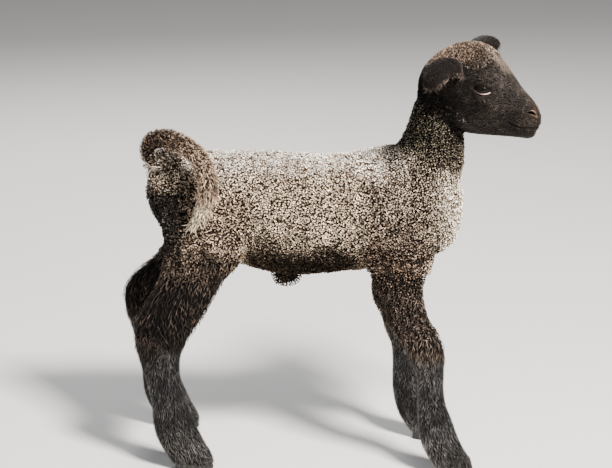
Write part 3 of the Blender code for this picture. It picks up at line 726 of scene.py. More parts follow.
def divide(item, wanted):
    """Cuts in four the faces whose corners are wanted, by a rule in the head's frame."""
    points = in_head(points_of(item))
    select_vertices(item, wanted(points) & (behind_throat(from_head(points)) < 0))
    bpy.ops.mesh.subdivide(number_cuts=1, smoothness=0.6, ngon=False)
    leave_edit()


def finer(points, reach):
    """Places within reach of the lids, nostrils or lips."""
    found = np.zeros(len(points), bool)
    for side in SIDES.values():
        gap, _, _ = lens_gap(points, side)
        found |= eye_side(points, side) & (gap < reach)
        found |= nostril_share(points, side) < 1 + reach / 6
    above, share = mouth_gap(points)
    return found | ((np.abs(above) < reach * 0.55) & (share > 0))


for reach in (8, 2.6):
    divide(skin, lambda points: finer(points, reach))

# %% Shape them
LID_RIM = 0.35  # how far the rim of a lid stands off the eyeball
LID_SLOPE = 1.7  # from the rim to where a lid has its full thickness
SOCKET_DEPTH = 3.2  # how far the skin between the lids sinks into the eyeball
LID_FOLDS = {"upper": (4.4, 0.9, 1.3), "lower": (3.8, 1.0, 0.6)}  # distance, width, depth
NOSTRIL_DEPTH, NOSTRIL_RIM = 5.0, 0.7
MOUTH_DEPTH, LIP_SWELL = 1.7, 0.5
GROOVE_DEPTHS = {"under the nose": 1.0, "along the nostrils": 0.8}


def shaped_lids(points):
    for side in SIDES.values():
        place = on_side(EYE_PLACE, side)
        chosen = np.flatnonzero(eye_side(points, side))
        near = points[chosen]
        gap, along, up = lens_gap(near, side)
        away = near - place
        radius = np.linalg.norm(away, axis=1)
        rim = EYE_RADIUS + LID_RIM
        over = EYE_RADIUS + LID_THICKNESS
        lid = rim + (over - rim) * ease(gap, 0, LID_SLOPE)
        socket = rim - SOCKET_DEPTH * ease(-gap, 0, 0.8)
        target = np.where(gap > 0, lid, socket)
        free = np.maximum(radius, over)
        hold = 1 - ease(gap, 0.4, 2.6)
        shaped = free * (1 - hold) + target * hold
        for name, (distance, width, depth) in LID_FOLDS.items():
            there = (up > 0) if name == "upper" else (up < 0)
            fold = depth * np.exp(-(((gap - distance) / width) ** 2)) * there
            shaped = shaped - fold * (1 - ease(np.abs(along), 8, 13))
        fade = 1 - ease(np.linalg.norm(away, axis=1), EYE_RADIUS + 6, EYE_RADIUS + 11)
        radius = np.maximum(radius, 1e-6)
        points[chosen] = place + away * ((radius + (shaped - radius) * fade) / radius)[:, None]
    return points


def shaped_nose(points, normals):
    for side in SIDES.values():
        share = nostril_share(points, side)
        facing = side * points[:, 1] > 0
        pit = NOSTRIL_DEPTH * np.sqrt(np.maximum(0, 1 - share**2)) * facing
        rim = NOSTRIL_RIM * np.exp(-(((share - 1.45) / 0.3) ** 2)) * facing
        points = points + normals * (rim - pit)[:, None]
    above, share = mouth_gap(points)
    front = share * ease(points[:, 0], 60, 80)
    groove = MOUTH_DEPTH * np.exp(-((above / 0.65) ** 2))
    lips = LIP_SWELL * np.exp(-(((np.abs(above) - 2.5) / 1.2) ** 2))
    points = points + normals * (front * (lips - groove))[:, None]
    middle = np.exp(-((points[:, 1] / 0.9) ** 2)) * ease(points[:, 0], 104, 108)
    reach = ease(points[:, 2], 397, 400) * (1 - ease(points[:, 2], 406, 410))
    philtrum = GROOVE_DEPTHS["under the nose"] * middle * reach
    branch = np.abs(points[:, 2] - 405 - 0.55 * np.abs(points[:, 1]))
    wing = np.exp(-((branch / 0.9) ** 2)) * (1 - ease(np.abs(points[:, 1]), 5, 8))
    wing = GROOVE_DEPTHS["along the nostrils"] * wing
    return points - normals * (philtrum + wing * ease(points[:, 0], 102, 107))[:, None]


def shape_face(item):
    points, normals = points_of(item), normals_of(item)
    on_head = behind_throat(points) < -4
    local = in_head(points[on_head])
    turned = way_in_head(normals[on_head])
    points[on_head] = from_head(shaped_nose(shaped_lids(local), turned))
    set_points(item, points)


shape_face(skin)
smooth(applied(skin, "TRIANGULATE", quad_method="BEAUTY"))
print("skin:", len(skin.data.polygons), "triangles")

# %% [markdown]
# ## An unwrap for the skin
# Each curl or hair gets a small patch at its root's place on an unwrap of the skin, so the skin is
# unwrapped first, by the angle of its faces.

# %% Unwrap
PATCH = 0.003  # size of one tuft's patch on the unwrap
for layer in list(skin.data.uv_layers):
    skin.data.uv_layers.remove(layer)
skin.data.uv_layers.new(name="OFBake")
edit_all(skin)
bpy.ops.uv.smart_project(angle_limit=math.radians(66), island_margin=0.002)
leave_edit()

# %% Tables of the skin's triangles, for placing roots
SKIN_POINTS = points_of(skin)
SKIN_NORMALS = normals_of(skin)
CORNERS = np.empty(len(skin.data.loops), np.int32)
skin.data.loops.foreach_get("vertex_index", CORNERS)
CORNERS = CORNERS.reshape(-1, 3)
UNWRAP = np.empty(len(skin.data.loops) * 2, np.float32)
skin.data.uv_layers["OFBake"].data.foreach_get("uv", UNWRAP)
UNWRAP = UNWRAP.reshape(-1, 3, 2)
TRIANGLES = SKIN_POINTS[CORNERS]
CENTRES = TRIANGLES.mean(axis=1)
EDGE_CROSS = np.cross(TRIANGLES[:, 1] - TRIANGLES[:, 0], TRIANGLES[:, 2] - TRIANGLES[:, 0])
AREAS = np.linalg.norm(EDGE_CROSS, axis=1) / 2
print("skin area:", round(AREAS.sum() / 1e6, 3), "square metres")

# %% [markdown]
# ## Markings, with painted light and shade
# The colours belong to places on the lamb: a pale back and chest, brown haunches, a dark belly, head and
# legs, and a tan poll. Some places also carry painted light and shade. The belly, the buttock, the neck
# and crest, the crease behind the elbow and the tail's root are darker partly as painted shade. The rear
# of the cheek under the ear is darkened as painted shade. The rump under the arch of the tail is paler
# partly as painted light. Each place has a colour at the root of its coat and one at the tips, and a share
# of darker curls. One function blends them from place to place, for the skin and for every curl and hair
# on it, so that both carry the same markings and painted shade.

# %% Colours of the places


def seen(red, green, blue):
    """A colour as a screen shows it, from 0 to 255, turned into light."""
    value = np.array((red, green, blue), float) / 255
    return np.where(value <= 0.04045, value / 12.92, ((value + 0.055) / 1.055) ** 2.4)


# Place: colour at the root, colour at the tip, share of dark curls
COAT_TABLE = {
    "flank": ((58, 43, 32), (255, 232, 205), 0.12),
    "back": ((120, 100, 82), (255, 246, 234), 0.05),
    "shoulder": ((36, 27, 21), (208, 187, 166), 0.33),
    "chest": ((130, 112, 92), (255, 246, 228), 0.03),
    "haunch": ((36, 26, 20), (226, 198, 172), 0.30),
    # Painted light in part: the rump under the arch of the tail is pale wool, made paler still to make up
    # for the tail's shade on it.
    "rump": ((84, 66, 52), (248, 228, 204), 0.12),
    # Painted shadow in part: the buttock is dark wool, darkened further as the shadow of the tail.
    "buttock": ((13, 11, 10), (88, 81, 73), 0.54),
    # Painted shade in part: the belly's dark is partly its wool's own colour and partly shade under the
    # body.
    "belly": ((10, 7, 6), (86, 72, 58), 0.62),
    # Painted shade in part: the neck and crest are darker grey partly by their wool and partly as shade
    # under the head.
    "neck": ((20, 18, 14), (112, 104, 88), 0.42),
    "crest": ((13, 12, 10), (90, 84, 75), 0.50),
    # Painted shade in part: behind the elbow the wool is darker partly by its own colour and partly as
    # shade in the crease between leg and body.
    "elbow": ((17, 13, 10), (130, 109, 93), 0.55),
    "thigh": ((11, 8, 6), (102, 88, 77), 0.58),
    "gaskin": ((4, 3, 3), (70, 59, 52), 0.78),
    "forearm": ((10, 8, 6), (108, 94, 84), 0.58),
    "shank": ((4, 4, 4), (144, 140, 140), 0.82),
    "foot": ((11, 10, 10), (162, 157, 154), 0.64),
    "face": ((6, 5, 4), (106, 96, 89), 0.62),
    # Painted shade: the rear of the cheek, behind the eye and under the ear, is darkened as shade.
    "jaw": ((3, 3, 2), (46, 40, 36), 0.76),
    "nose": ((30, 24, 21), (112, 94, 82), 0.30),
    "poll": ((20, 14, 11), (158, 134, 115), 0.36),
    "forehead": ((30, 23, 19), (180, 161, 144), 0.26),
    "muzzle": ((9, 7, 6), (140, 125, 114), 0.62),
    "throat": ((14, 12, 9), (98, 90, 74), 0.50),
    "ear": ((6, 5, 4), (70, 58, 52), 0.62),
    "tail": ((48, 36, 28), (192, 166, 142), 0.38),
    # Painted shade in part: the first part of the tail, from the rump up over its arch, is darker partly
    # by its wool and partly as shade.
    "tail root": ((22, 16, 13), (124, 105, 91), 0.58),
    "tail tip": ((84, 66, 46), (236, 224, 194), 0.12),
    "lid": ((6, 5, 4), (40, 34, 31), 0.0),
    "ear lining": ((30, 24, 21), (124, 110, 102), 0.30),
    "bare": ((96, 74, 58), (196, 158, 124), 0.0),
}
COAT = {place: (seen(*root), seen(*tip), dark) for place, (root, tip, dark) in COAT_TABLE.items()}

# %% Where each place lies
RUMP_PLACE = np.array((-157.0, -8.0, 347.0))
RUMP_REACH = np.array((20.0, 24.0, 16.0))
BARE_PLACE = np.array((-176, 0, 312))  # the bare skin under the tail


def markings_and_painted_light(points, normals):
    """The coat's colour at the root, at the tip, and its share of dark curls, for each place, with painted
    shade and light in some places.
    """
    ragged = np.stack([ripple(points, 17.0, seed) for seed in (31, 32, 33)], axis=1)
    x, y, z = (points + 9 * ragged + 3 * ripple(points, 5.0, 34)[:, None]).T
    ahead, across, up = (in_head(points) + 3 * ragged).T
    out = np.abs(across)
    behind = behind_throat(points)
    on_head = 1 - ease(behind, -6, 10)
    fore = ease(x, 55, 75)
    hind = 1 - ease(x, -75, -50)
    wide = ease(np.abs(y), 18, 30)
    gap, row = near_tail(points)
    tail = (gap < TAIL_ROWS[row, 3] + 5) * ease(row, 14, 22)
    ears = ear_share(points)
    inside = ease(way_in_head(normals) @ EAR_FACES, 0.25, 0.6)
    lower = fore * (1 - ease(z, 112, 146)) + hind * (1 - ease(z, 116, 150))
    brow = on_head * ease(up, 450, 466)
    star = on_head * ease(up, 440, 458) * (1 - ease(out, 8, 18))
    layers = [
        ("haunch", hind * (1 - ease(z, 296, 332))),
        # The buttock's darkening is partly a painted shadow of the tail.
        ("buttock", (1 - ease(x, -142, -118)) * (1 - ease(z, 306, 328))),
        ("shoulder", fore),
        ("chest", ease(x, 128, 160) * (1 - ease(z, 330, 350)) * ease(z, 235, 262)),
        ("back", ease(z, 322, 347) * (1 - ease(x, 95, 135)) * ease(x, -172, -158)),
        # The rump under the tail's arch is lightened partly as painted light.
        ("rump", 1 - ease(np.linalg.norm((points - RUMP_PLACE) / RUMP_REACH, axis=1), 0.7, 1.2)),
        # The belly's darkening is partly painted shade under the body.
        ("belly", (1 - ease(z, 238, 282)) * (1 - fore) * (1 - hind)),
        # Behind the elbow the darkening is partly painted shade in the crease.
        ("elbow", fore * (1 - ease(z, 242, 306)) * (1 - ease(x, 116, 150))),
        ("thigh", hind * wide * (1 - ease(z, 236, 272))),
        ("forearm", fore * wide * (1 - ease(z, 208, 236))),
        ("gaskin", hind * wide * (1 - ease(z, 196, 232))),
        ("shank", lower),
        ("foot", 1 - ease(z, 28, 62)),
        # The neck and crest are darkened partly as painted shade under the head.
        ("neck", ease(z, 330, 372) * ease(x, 78, 110)),
        ("crest", ease(z, 350, 400) * ease(x, 70, 90) * (1 - ease(x, 112, 140)) * (1 - on_head)),
        ("throat", ease(behind, -24, -4) * (1 - ease(behind, 20, 50)) * ease(ahead, 0, 30)),
        ("face", on_head),
        # Painted shade behind the eye and under the ear.
        ("jaw", on_head * (1 - ease(ahead, 18, 44)) * (1 - ease(up, 440, 456))),
        ("muzzle", on_head * ease(ahead, 88, 104)),
        ("nose", on_head * ease(ahead, 103, 108) * (1 - ease(out, 7, 10)) * ease(up, 396, 401)),
        ("poll", brow * (1 - ease(ahead, 40, 66)) * (1 - ease(out, 24, 32))),
        ("forehead", star * ease(ahead, 44, 60) * (1 - ease(ahead, 72, 90))),
        ("ear", ears),
        ("ear lining", ears * inside),
        ("tail", tail),
        # The tail's root is darkened partly as painted shade.
        ("tail root", tail * (1 - ease(row, 38, 66))),
        ("tail tip", tail * ease(row, 88, 100)),
    ]
    root = np.tile(COAT["flank"][0], (len(points), 1))
    tip = np.tile(COAT["flank"][1], (len(points), 1))
    dark = np.full(len(points), COAT["flank"][2])
    for name, weight in layers:
        weight = np.clip(weight, 0, 1)
        root += weight[:, None] * (COAT[name][0] - root)
        tip += weight[:, None] * (COAT[name][1] - tip)
        dark += weight * (COAT[name][2] - dark)
    return root, tip, dark


# %% [markdown]
# ## Attributes
# The markings, with their painted light and shade, are stored on the meshes as attributes, and the
# materials read them. Beside the two colours, each vertex knows how far along its curl it lies, and a
# place of its own for fine streaks.

# %% Store the markings and painted shade


def store(mesh, name, kind, field, values):
    attribute = mesh.attributes.new(name, kind, "POINT")
    attribute.data.foreach_set(field, np.asarray(values, np.float32).ravel())


def store_coat(mesh, root, tip, along, fibre):
    ones = np.ones((len(root), 1))
    store(mesh, "root_colour", "FLOAT_COLOR", "color", np.hstack([root, ones]))
    store(mesh, "tip_colour", "FLOAT_COLOR", "color", np.hstack([tip, ones]))
    store(mesh, "along", "FLOAT", "value", along)
    store(mesh, "fibre", "FLOAT_VECTOR", "vector", fibre)


def either_side(points, share_at):
    """The share that a rule gives to places on the right or the left of the head."""
    local = in_head(points)
    return np.maximum(*[share_at(local, side) for side in SIDES.values()])


def nostril_rim(local, side):
    """1 on the bare rim of the nostril, above and in front of it; its upper edge is paler, partly as a
    painted highlight.
    """
    rim = 1 - ease(np.abs(nostril_share(local, side) - 1.2), 0.05, 0.4)
    ahead, _, above = (local - on_side(NOSTRIL_PLACE, side)).T
    # Painted highlight in part: the rim's bare skin is paler on its upper edge than below.
    pale = ease(ahead, -4, 1) * (0.35 + 0.65 * ease(above, -0.5, 1.5))
    return rim * (side * local[:, 1] > 0) * pale


def nostril_pit(local, side):
    """1 in the pit of the nostril."""
    pit = 1 - ease(nostril_share(local, side), 0.75, 1.1)
    return pit * (side * local[:, 1] > 0)


def lid_skin(local, side):
    """1 on the short-haired skin of the lids."""
    gap, _, up = lens_gap(local, side)
    lid = (1 - ease(gap, 2.2, 4.2)) * np.where(up > 0, 1.0, 0.6)
    return lid * eye_side(local, side)


def bare_share(points):
    """1 where the skin has no hair: the rims of the nostrils and under the tail."""
    under = np.linalg.norm(points - BARE_PLACE, axis=1)
    return np.maximum(either_side(points, nostril_rim), 1 - ease(under, 5, 12))


def tinted(values, name, column, weight):
    """Those colours drawn towards one of the coat's colours."""
    return values + weight[:, None] * (COAT[name][column] - values)


SKIN_ROOT, SKIN_TIP, _ = markings_and_painted_light(SKIN_POINTS, SKIN_NORMALS)
bare = bare_share(SKIN_POINTS)
lids = either_side(SKIN_POINTS, lid_skin)
SKIN_ROOT = tinted(tinted(0.7 * SKIN_ROOT, "lid", 0, lids), "bare", 0, bare)
SKIN_TIP = tinted(tinted(SKIN_TIP, "lid", 1, lids), "bare", 1, bare)
# Painted shade: the skin in the pits of the nostrils is darkened nearly to black.
light = 1 - 0.9 * either_side(SKIN_POINTS, nostril_pit)[:, None]
SKIN_ROOT, SKIN_TIP = SKIN_ROOT * light, SKIN_TIP * light
skin_along = 0.12 + 0.25 * lids + 0.45 * bare
store_coat(skin.data, SKIN_ROOT, SKIN_TIP, skin_along, SKIN_POINTS * 0.6)

# %% [markdown]
# ## Roots
# Hair grows evenly but not in rows. Points are thrown at the skin, more where there is more area, and
# each stays only if no earlier one is nearer than the spacing. A grid of cells makes the test quick.

# %% Place roots


class Roots:
    """Places where tufts grow, with the skin's normal, its unwrap and the coat's lie there."""

    def __init__(self, place, normal, unwrap, lie):
        self.place = place
        self.normal = normal
        self.unwrap = unwrap
        self.lie = lie
        self.across = np.cross(normal, lie)

    def __len__(self):
        return len(self.place)

    def where(self, chosen):
        return Roots(self.place[chosen], self.normal[chosen], self.unwrap[chosen], self.lie[chosen])


def thinned(places, spacing):
    """The indices of places that keep their distance from those before them."""
    cells = np.floor(places / spacing).astype(int)
    kept = {}
    chosen = []
    ring = [(i, j, k) for i in (-1, 0, 1) for j in (-1, 0, 1) for k in (-1, 0, 1)]
    least = spacing * spacing
    rows = places.tolist()
    for index, (i, j, k) in enumerate(cells.tolist()):
        x, y, z = rows[index]
        clear = True
        for di, dj, dk in ring:
            for ox, oy, oz in kept.get((i + di, j + dj, k + dk), ()):
                if (x - ox) ** 2 + (y - oy) ** 2 + (z - oz) ** 2 < least:
                    clear = False
                    break
            if not clear:
                break
        if clear:
            kept.setdefault((i, j, k), []).append((x, y, z))
            chosen.append(index)
    return np.array(chosen, int)


def rooted(faces, spacing, lie_at, throws=4.0):
    """Roots about that far apart on the chosen faces of the skin."""
    area = AREAS * faces
    count = int(throws * area.sum() / spacing**2)
    picked = chance.choice(len(area), count, p=area / area.sum())
    first, second = chance.random((2, count))
    fold = first + second > 1
    first, second = np.where(fold, 1 - first, first), np.where(fold, 1 - second, second)
    shares = np.stack([1 - first - second, first, second], axis=1)[:, :, None]
    places = (TRIANGLES[picked] * shares).sum(axis=1)
    kept = thinned(places, spacing)
    picked, shares, places = picked[kept], shares[kept], places[kept]
    normals = unit((SKIN_NORMALS[CORNERS[picked]] * shares).sum(axis=1))
    unwrap = (UNWRAP[picked] * shares).sum(axis=1)
    return Roots(places, normals, unwrap, square_to(lie_at(places, normals), normals))


# %% [markdown]
# ## A piece of coat
# All the tufts of one piece are one mesh: rings of three points swept along each line, closed at the root
# and drawn to a point at the tip. A curl or lock has 28 triangles and a short hair four, and a piece has
# under 200,000.

# %% Build a mesh of tufts
PIECE_LIMIT = 195000
SIDES_OF_TUFT = 3
coat_pieces = []


def tuft_faces(stations, sides=SIDES_OF_TUFT):
    """Faces of one tuft: the squares of its wall, the fan at its tip and the cap of its root."""
    wall = np.array(wall_faces(stations, sides), int).reshape(-1, 4)
    last = (stations - 1) * sides
    fan = [(last + i, last + (i + 1) % sides, stations * sides) for i in range(sides)]
    return wall, np.array(fan), np.array([range(sides)])[:, ::-1]


def wrinkles(places):
    """Upright wrinkles of the fleece over the flanks."""
    return ripple(places, (9, 30, 24), 14)


def tuft_colours(roots, tone):
    """Colours at the root and tip of each tuft: some are dark, their brightness strays by the tone, and
    the wrinkles add painted light on their crests and painted shade in their troughs.
    """
    count, places = len(roots), roots.place
    root, tip, dark = markings_and_painted_light(places, roots.normal)
    tip = tinted(tip, "lid", 1, either_side(places, lid_skin))
    low = 1 - ease(places[:, 2], 285, 325)
    staples = ripple(places, 4.0, 11) * (1 - low) + ripple(places, (3.2, 6, 10), 12) * low
    # Painted light and shade: the wrinkles make curls lighter where they raise the body's fleece and
    # darker where it sinks.
    tone_and_painted_fold_shade = 0.3 * staples + 0.25 * wrinkles(places)
    shade = np.exp(chance.normal(0, tone, (count, 1)) + tone_and_painted_fold_shade[:, None])
    dark = dark * (1 + 0.7 * ripple(places, 14.0, 13) - 0.4 * staples)
    faded = (chance.random(count) < dark)[:, None] * chance.uniform(0.45, 0.9, (count, 1))
    tip = (tip + faded * (root - tip)) * shade
    return root * shade**0.5, tip


def tuft_mesh(name, roots, lines, width, thickness, tone):
    """One mesh of tufts along lines, whose last station is the tip."""
    count, stations, sides = len(lines), lines.shape[1] - 1, SIDES_OF_TUFT
    rings = swept(lines, roots.across, width, thickness, sides)[:, :-1]
    points = np.concatenate([rings.reshape(count, -1, 3), lines[:, -1:]], axis=1)
    each = stations * sides + 1
    offset = (np.arange(count) * each)[:, None, None]
    parts = [(faces + offset).reshape(-1, faces.shape[1]) for faces in tuft_faces(stations)]
    corners = np.concatenate([part.ravel() for part in parts])
    sizes = np.concatenate([np.full(len(part), part.shape[1]) for part in parts])
    starts = np.concatenate([[0], np.cumsum(sizes)[:-1]])
    mesh = bpy.data.meshes.new(name)
    mesh.vertices.add(count * each)
    mesh.vertices.foreach_set("co", (points * MM).astype(np.float32).ravel())
    mesh.loops.add(len(corners))
    mesh.loops.foreach_set("vertex_index", corners.astype(np.int32))
    mesh.polygons.add(len(starts))
    mesh.polygons.foreach_set("loop_start", starts.astype(np.int32))
    mesh.update(calc_edges=True)
    mesh.polygons.foreach_set("use_smooth", np.ones(len(starts), bool))
    along = np.append(np.repeat(np.arange(stations) / stations, sides), 1.0)
    angle = np.append(np.tile(np.arange(sides) / sides, stations), 0.5)
    patch = roots.unwrap[:, None] + PATCH * (np.stack([angle, along], axis=1) - 0.5)
    layer = mesh.uv_layers.new(name="OFBake")
    layer.data.foreach_set("uv", patch.reshape(-1, 2)[corners].astype(np.float32).ravel())
    root, tip = tuft_colours(roots, tone)
    turn = angle * math.tau
    local = np.stack([np.cos(turn), np.sin(turn), along * 0.8], axis=1)
    fibre = local[None] + chance.uniform(0, 60, (count, 1, 3))
    wide = (np.repeat(root, each, axis=0), np.repeat(tip, each, axis=0))
    store_coat(mesh, *wide, np.tile(along, count), fibre.reshape(-1, 3))
    triangles = count * (2 * (stations - 1) * sides + sides + sides - 2)
    print(name, count, "tufts,", triangles, "triangles")
    if triangles > PIECE_LIMIT:
        raise ValueError(f"{name} has {triangles} triangles")
    item = bpy.data.objects.new(name, mesh)
    bpy.context.scene.collection.objects.link(item)
    coat_pieces.append(item)
    return item


# %% [markdown]
# ## Curls, hairs and locks
# A newborn lamb's fleece is a pelt of small tight curls: each staple rises from the skin and winds over
# into a ring that lies nearly flat, so from outside the fleece looks like rows of small pale loops over
# dark gaps. The short hair of face, ears and shanks is a fine flat spike that follows its lie, and the
# longer wool of the thighs, the forearms and the tail hangs in wavy locks.

# %% Lines of curls, hairs and locks


def spread_values(shape, low, high):
    return chance.uniform(low, high, shape)


def turned_lie(roots, turned):
    """The coat's lie, turned within the surface by an angle for each root."""
    return roots.lie * np.cos(turned) + roots.across * np.sin(turned)


def curl_lines(roots, height, radius, turns, wild, rings=5):
    """Lines that rise from the skin and wind over into a ring. Neighbours lean the same way."""
    count = len(roots)
    turned = (chance.normal(0, 0.45, count) + wild * ripple(roots.place, 8.0, 3))[:, None]
    lie = turned_lie(roots, turned)
    across = np.cross(roots.normal, lie) * chance.choice((-1, 1), count)[:, None]
    tilt, roll = spread_values((2, count, 1), -0.3, 0.75)
    lie = lie * np.cos(tilt) + roots.normal * np.sin(tilt)
    across = across * np.cos(roll) + roots.normal * np.sin(roll)
    size = spread_values((count, 1), 0.75, 1.2)
    clump = (1 + 0.22 * ripple(roots.place, 5.0, 5))[:, None]
    top = np.reshape(height, (-1, 1)) * clump * spread_values((count, 1), 0.85, 1.1)
    stations = [roots.place - roots.normal]
    middle = roots.place + roots.normal * top
    winding = spread_values((count, 1), 0.8, 1.15) * turns * math.tau
    for share in np.linspace(0, 1, rings):
        angle = winding * share
        reach = radius * size * (1 - 0.5 * share)
        ring = -lie * reach * np.cos(angle) + across * reach * np.sin(angle)
        stations.append(middle + ring + roots.normal * 0.4 * share)
    return np.stack(stations, axis=1)


def hair_lines(roots, length, lift, bend, wild, stations):
    """Lines of short hair that leave the skin and lie down along it."""
    count = len(roots)
    turned = chance.normal(0, wild, count)[:, None]
    lie = turned_lie(roots, turned)
    size = np.reshape(length, (-1, 1)) * spread_values((count, 1), 0.75, 1.25)
    rise = lift * spread_values((count, 1), 0.5, 1.4)
    sway = bend * chance.normal(0, 1, (count, 1))
    across = np.cross(roots.normal, lie)
    lines = []
    for share in np.linspace(0, 1, stations):
        up = rise * share**0.8 - 0.5 * (share == 0)
        lines.append(roots.place + lie * size * share + roots.normal * up + across * sway * share**2)
    return np.stack(lines, axis=1)


def lock_lines(roots, length, lift, wave, wild, stations):
    """Long wavy locks that hang along the coat's lie."""
    count = len(roots)
    turned = chance.normal(0, wild, count)[:, None]
    lie = turned_lie(roots, turned)
    across = np.cross(roots.normal, lie)
    size = length * spread_values((count, 1), 0.7, 1.25)
    rise = np.reshape(lift, (-1, 1)) * spread_values((count, 1), 0.4, 1.3)
    phase = spread_values((count, 1), 0, math.tau)
    swing = wave * spread_values((count, 1), 0.4, 1.3)
    lines = []
    for share in np.linspace(0, 1, stations):
        up = rise * math.sin(share * 1.9) - 1.0 * (share == 0)
        sway = swing * share * np.sin(phase + share * 7.0)
        bob = 0.5 * swing * share * np.cos(phase + share * 7.0)
        lines.append(roots.place + lie * size * share + roots.normal * (up + bob) + across * sway)
    return np.stack(lines, axis=1)


def tapered(count, stations, widths):
    """Widths along each tuft, read from a short list, and varied from tuft to tuft."""
    shares = np.linspace(0, 1, stations)
    row = np.interp(shares, np.linspace(0, 1, len(widths)), widths)
    return row[None] * spread_values((count, 1), 0.8, 1.2)


# %% [markdown]
# ## The lie of the coat
# Hair on the face runs back from the nose, the fleece runs back and down, and the legs' hair runs down.
# Each function gives that direction before it is laid flat on the skin.

# %% Directions


def ways(places, ahead, out, up):
    """A way for each place. Each part of it is one number, or a number for each place."""
    return np.stack([np.full(len(places), part, float) for part in (ahead, out, up)], axis=1)


def body_lie(places, normals):
    return ways(places, -1, 0, -0.3 - 0.9 * ease(np.abs(normals[:, 1]), 0.2, 0.9))


def neck_lie(places, normals):
    return ways(places, -0.25, 0, -1)


def leg_lie(places, normals):
    foot = 1 - ease(places[:, 2], 40, 80)
    hock = ease(places[:, 2], 165, 200)
    return ways(places, 0.5 * foot - 0.25 * hock, 0, -1)


def face_lie(places, normals):
    local = in_head(places)
    up = 0.35 * ease(local[:, 2], 440, 470) - 0.35 * (1 - ease(local[:, 2], 400, 430))
    return way_from_head(ways(places, -1, 0.25 * np.sign(local[:, 1]), up))


def ear_lie(places, normals):
    return way_from_head(ways(places, -0.1, np.sign(in_head(places)[:, 1]), -0.25))


def lining_lie(places, normals):
    return way_from_head(ways(places, 0.1, 0.3 * np.sign(in_head(places)[:, 1]), -1))


def tail_lie(places, normals):
    _, row = near_tail(places)
    return TAIL_WAY[row]


# %% [markdown]
# ## Which coat grows where
# Every triangle of the skin belongs to one kind of coat. Neighbouring kinds overlap by a few millimetres,
# so that no line shows between them.

# %% Sort the skin's faces
HEAD_CENTRES = in_head(CENTRES)
THROAT_GAP = behind_throat(CENTRES)
TAIL_GAP, TAIL_ROW = near_tail(CENTRES)
ON_EAR = ear_share(CENTRES) > 0.25
ON_TAIL = (TAIL_GAP < TAIL_CORE[TAIL_ROW] + 1.6) & (TAIL_ROW > 16)
ON_HEAD = (THROAT_GAP < 0) & ~ON_EAR
height = CENTRES[:, 2]
IS_FORE = CENTRES[:, 0] > 40
shag_top = np.where(IS_FORE, SHAG_TOP["fore"], SHAG_TOP["hind"])
shag_end = np.where(IS_FORE, SHAG_END["fore"], SHAG_END["hind"])
ON_LEG = (np.abs(CENTRES[:, 1]) > 12) & ((CENTRES[:, 0] > 58) | (CENTRES[:, 0] < -64) | (height < 200))
ON_BODY = (THROAT_GAP > -4) & ~ON_TAIL & ~ON_EAR


def opening_faces():
    """Faces where no hair grows: between the lids, in the nostrils, in the mouth and on bare skin."""
    found = bare_share(CENTRES) > 0.4
    above, share = mouth_gap(HEAD_CENTRES)
    found |= (np.abs(above) < 0.7) & (share > 0.5) & ON_HEAD
    for side in SIDES.values():
        gap, _, _ = lens_gap(HEAD_CENTRES, side)
        found |= eye_side(HEAD_CENTRES, side) & (gap < 1.5)
        facing = side * HEAD_CENTRES[:, 1] > 0
        found |= (nostril_share(HEAD_CENTRES, side) < 1.4) & facing & ON_HEAD
    return found


BARE = opening_faces()
HOOF_FACES = (height < HOOF_TOP + 2) & (np.abs(EDGE_CROSS[:, 2]) > 0.8 * 2 * AREAS)
# The poll's wool reaches down over the nape, and ends raggedly above the brows
over_nape = HEAD_CENTRES[:, 2] + 40 * (1 - ease(HEAD_CENTRES[:, 0], -22, 14))
on_poll = ease(over_nape, 455, 463) * (1 - ease(HEAD_CENTRES[:, 0], 52, 66))
ragged = 0.4 + 0.3 * ripple(CENTRES, 5.0, 21)
ON_POLL = ON_HEAD & (on_poll > ragged) & (np.abs(HEAD_CENTRES[:, 1]) < 30)
WOOLLY = ON_BODY & ~BARE & ((height > shag_top - 8) | ~ON_LEG)
ON_NECK = WOOLLY & (CENTRES[:, 0] > 85) & (height > 318)
ON_NAPE = (THROAT_GAP > -18) & (THROAT_GAP <= 0) & (height > 400) & ~ON_EAR & ~ON_POLL

# %% [markdown]
# ## The fleece
# Each kind of coat has its own spacing between roots, and its tufts have widths that are read from a short
# list, from the root to just before the tip. What would be too large for one piece is split by place, from
# the rear to the front.

# %% Curls of the body and neck
SPACING = {
    "body": 1.85,
    "neck": 1.75,
    "poll": 1.25,
    "leg curls": 2.0,
    "leg locks": 2.3,
    "shank": 1.02,
    "tail": 1.2,
    "fringe": 2.6,
    "face": 0.6,
    "ear": 0.9,
    "lining": 2.2,
}
CURL_WIDTHS = (0.6, 0.62, 0.64, 0.6, 0.5, 0.3)
SPIKE_WIDTHS = (0.34, 0.1)
BODY_PARTS, LEG_PARTS = 5, 2
RUMP_RISE = 14  # how much longer the wool is under the arch of the tail


def curls(name, roots, height, radius, turns, wild, widths=CURL_WIDTHS):
    """A piece of curls. Wild is how far their lie strays from the coat's."""
    lines = curl_lines(roots, height, radius, turns, wild)
    wide = tapered(len(lines), lines.shape[1], widths)
    return tuft_mesh(name, roots, lines, wide, wide * 0.85, 0.36)


def hairs(name, roots, length, lift, bend, wild, widths=SPIKE_WIDTHS, stations=2, tone=0.45):
    lines = hair_lines(roots, length, lift, bend, wild, stations)
    wide = tapered(len(lines), stations, widths)
    return tuft_mesh(name, roots, lines, wide, wide * 0.5, tone)


def locks(name, roots, length, lift, wave, wild, widths, stations=6):
    lines = lock_lines(roots, length, lift, wave, wild, stations)
    wide = tapered(len(lines), stations, widths)
    return tuft_mesh(name, roots, lines, wide, wide * 0.6, 0.35)


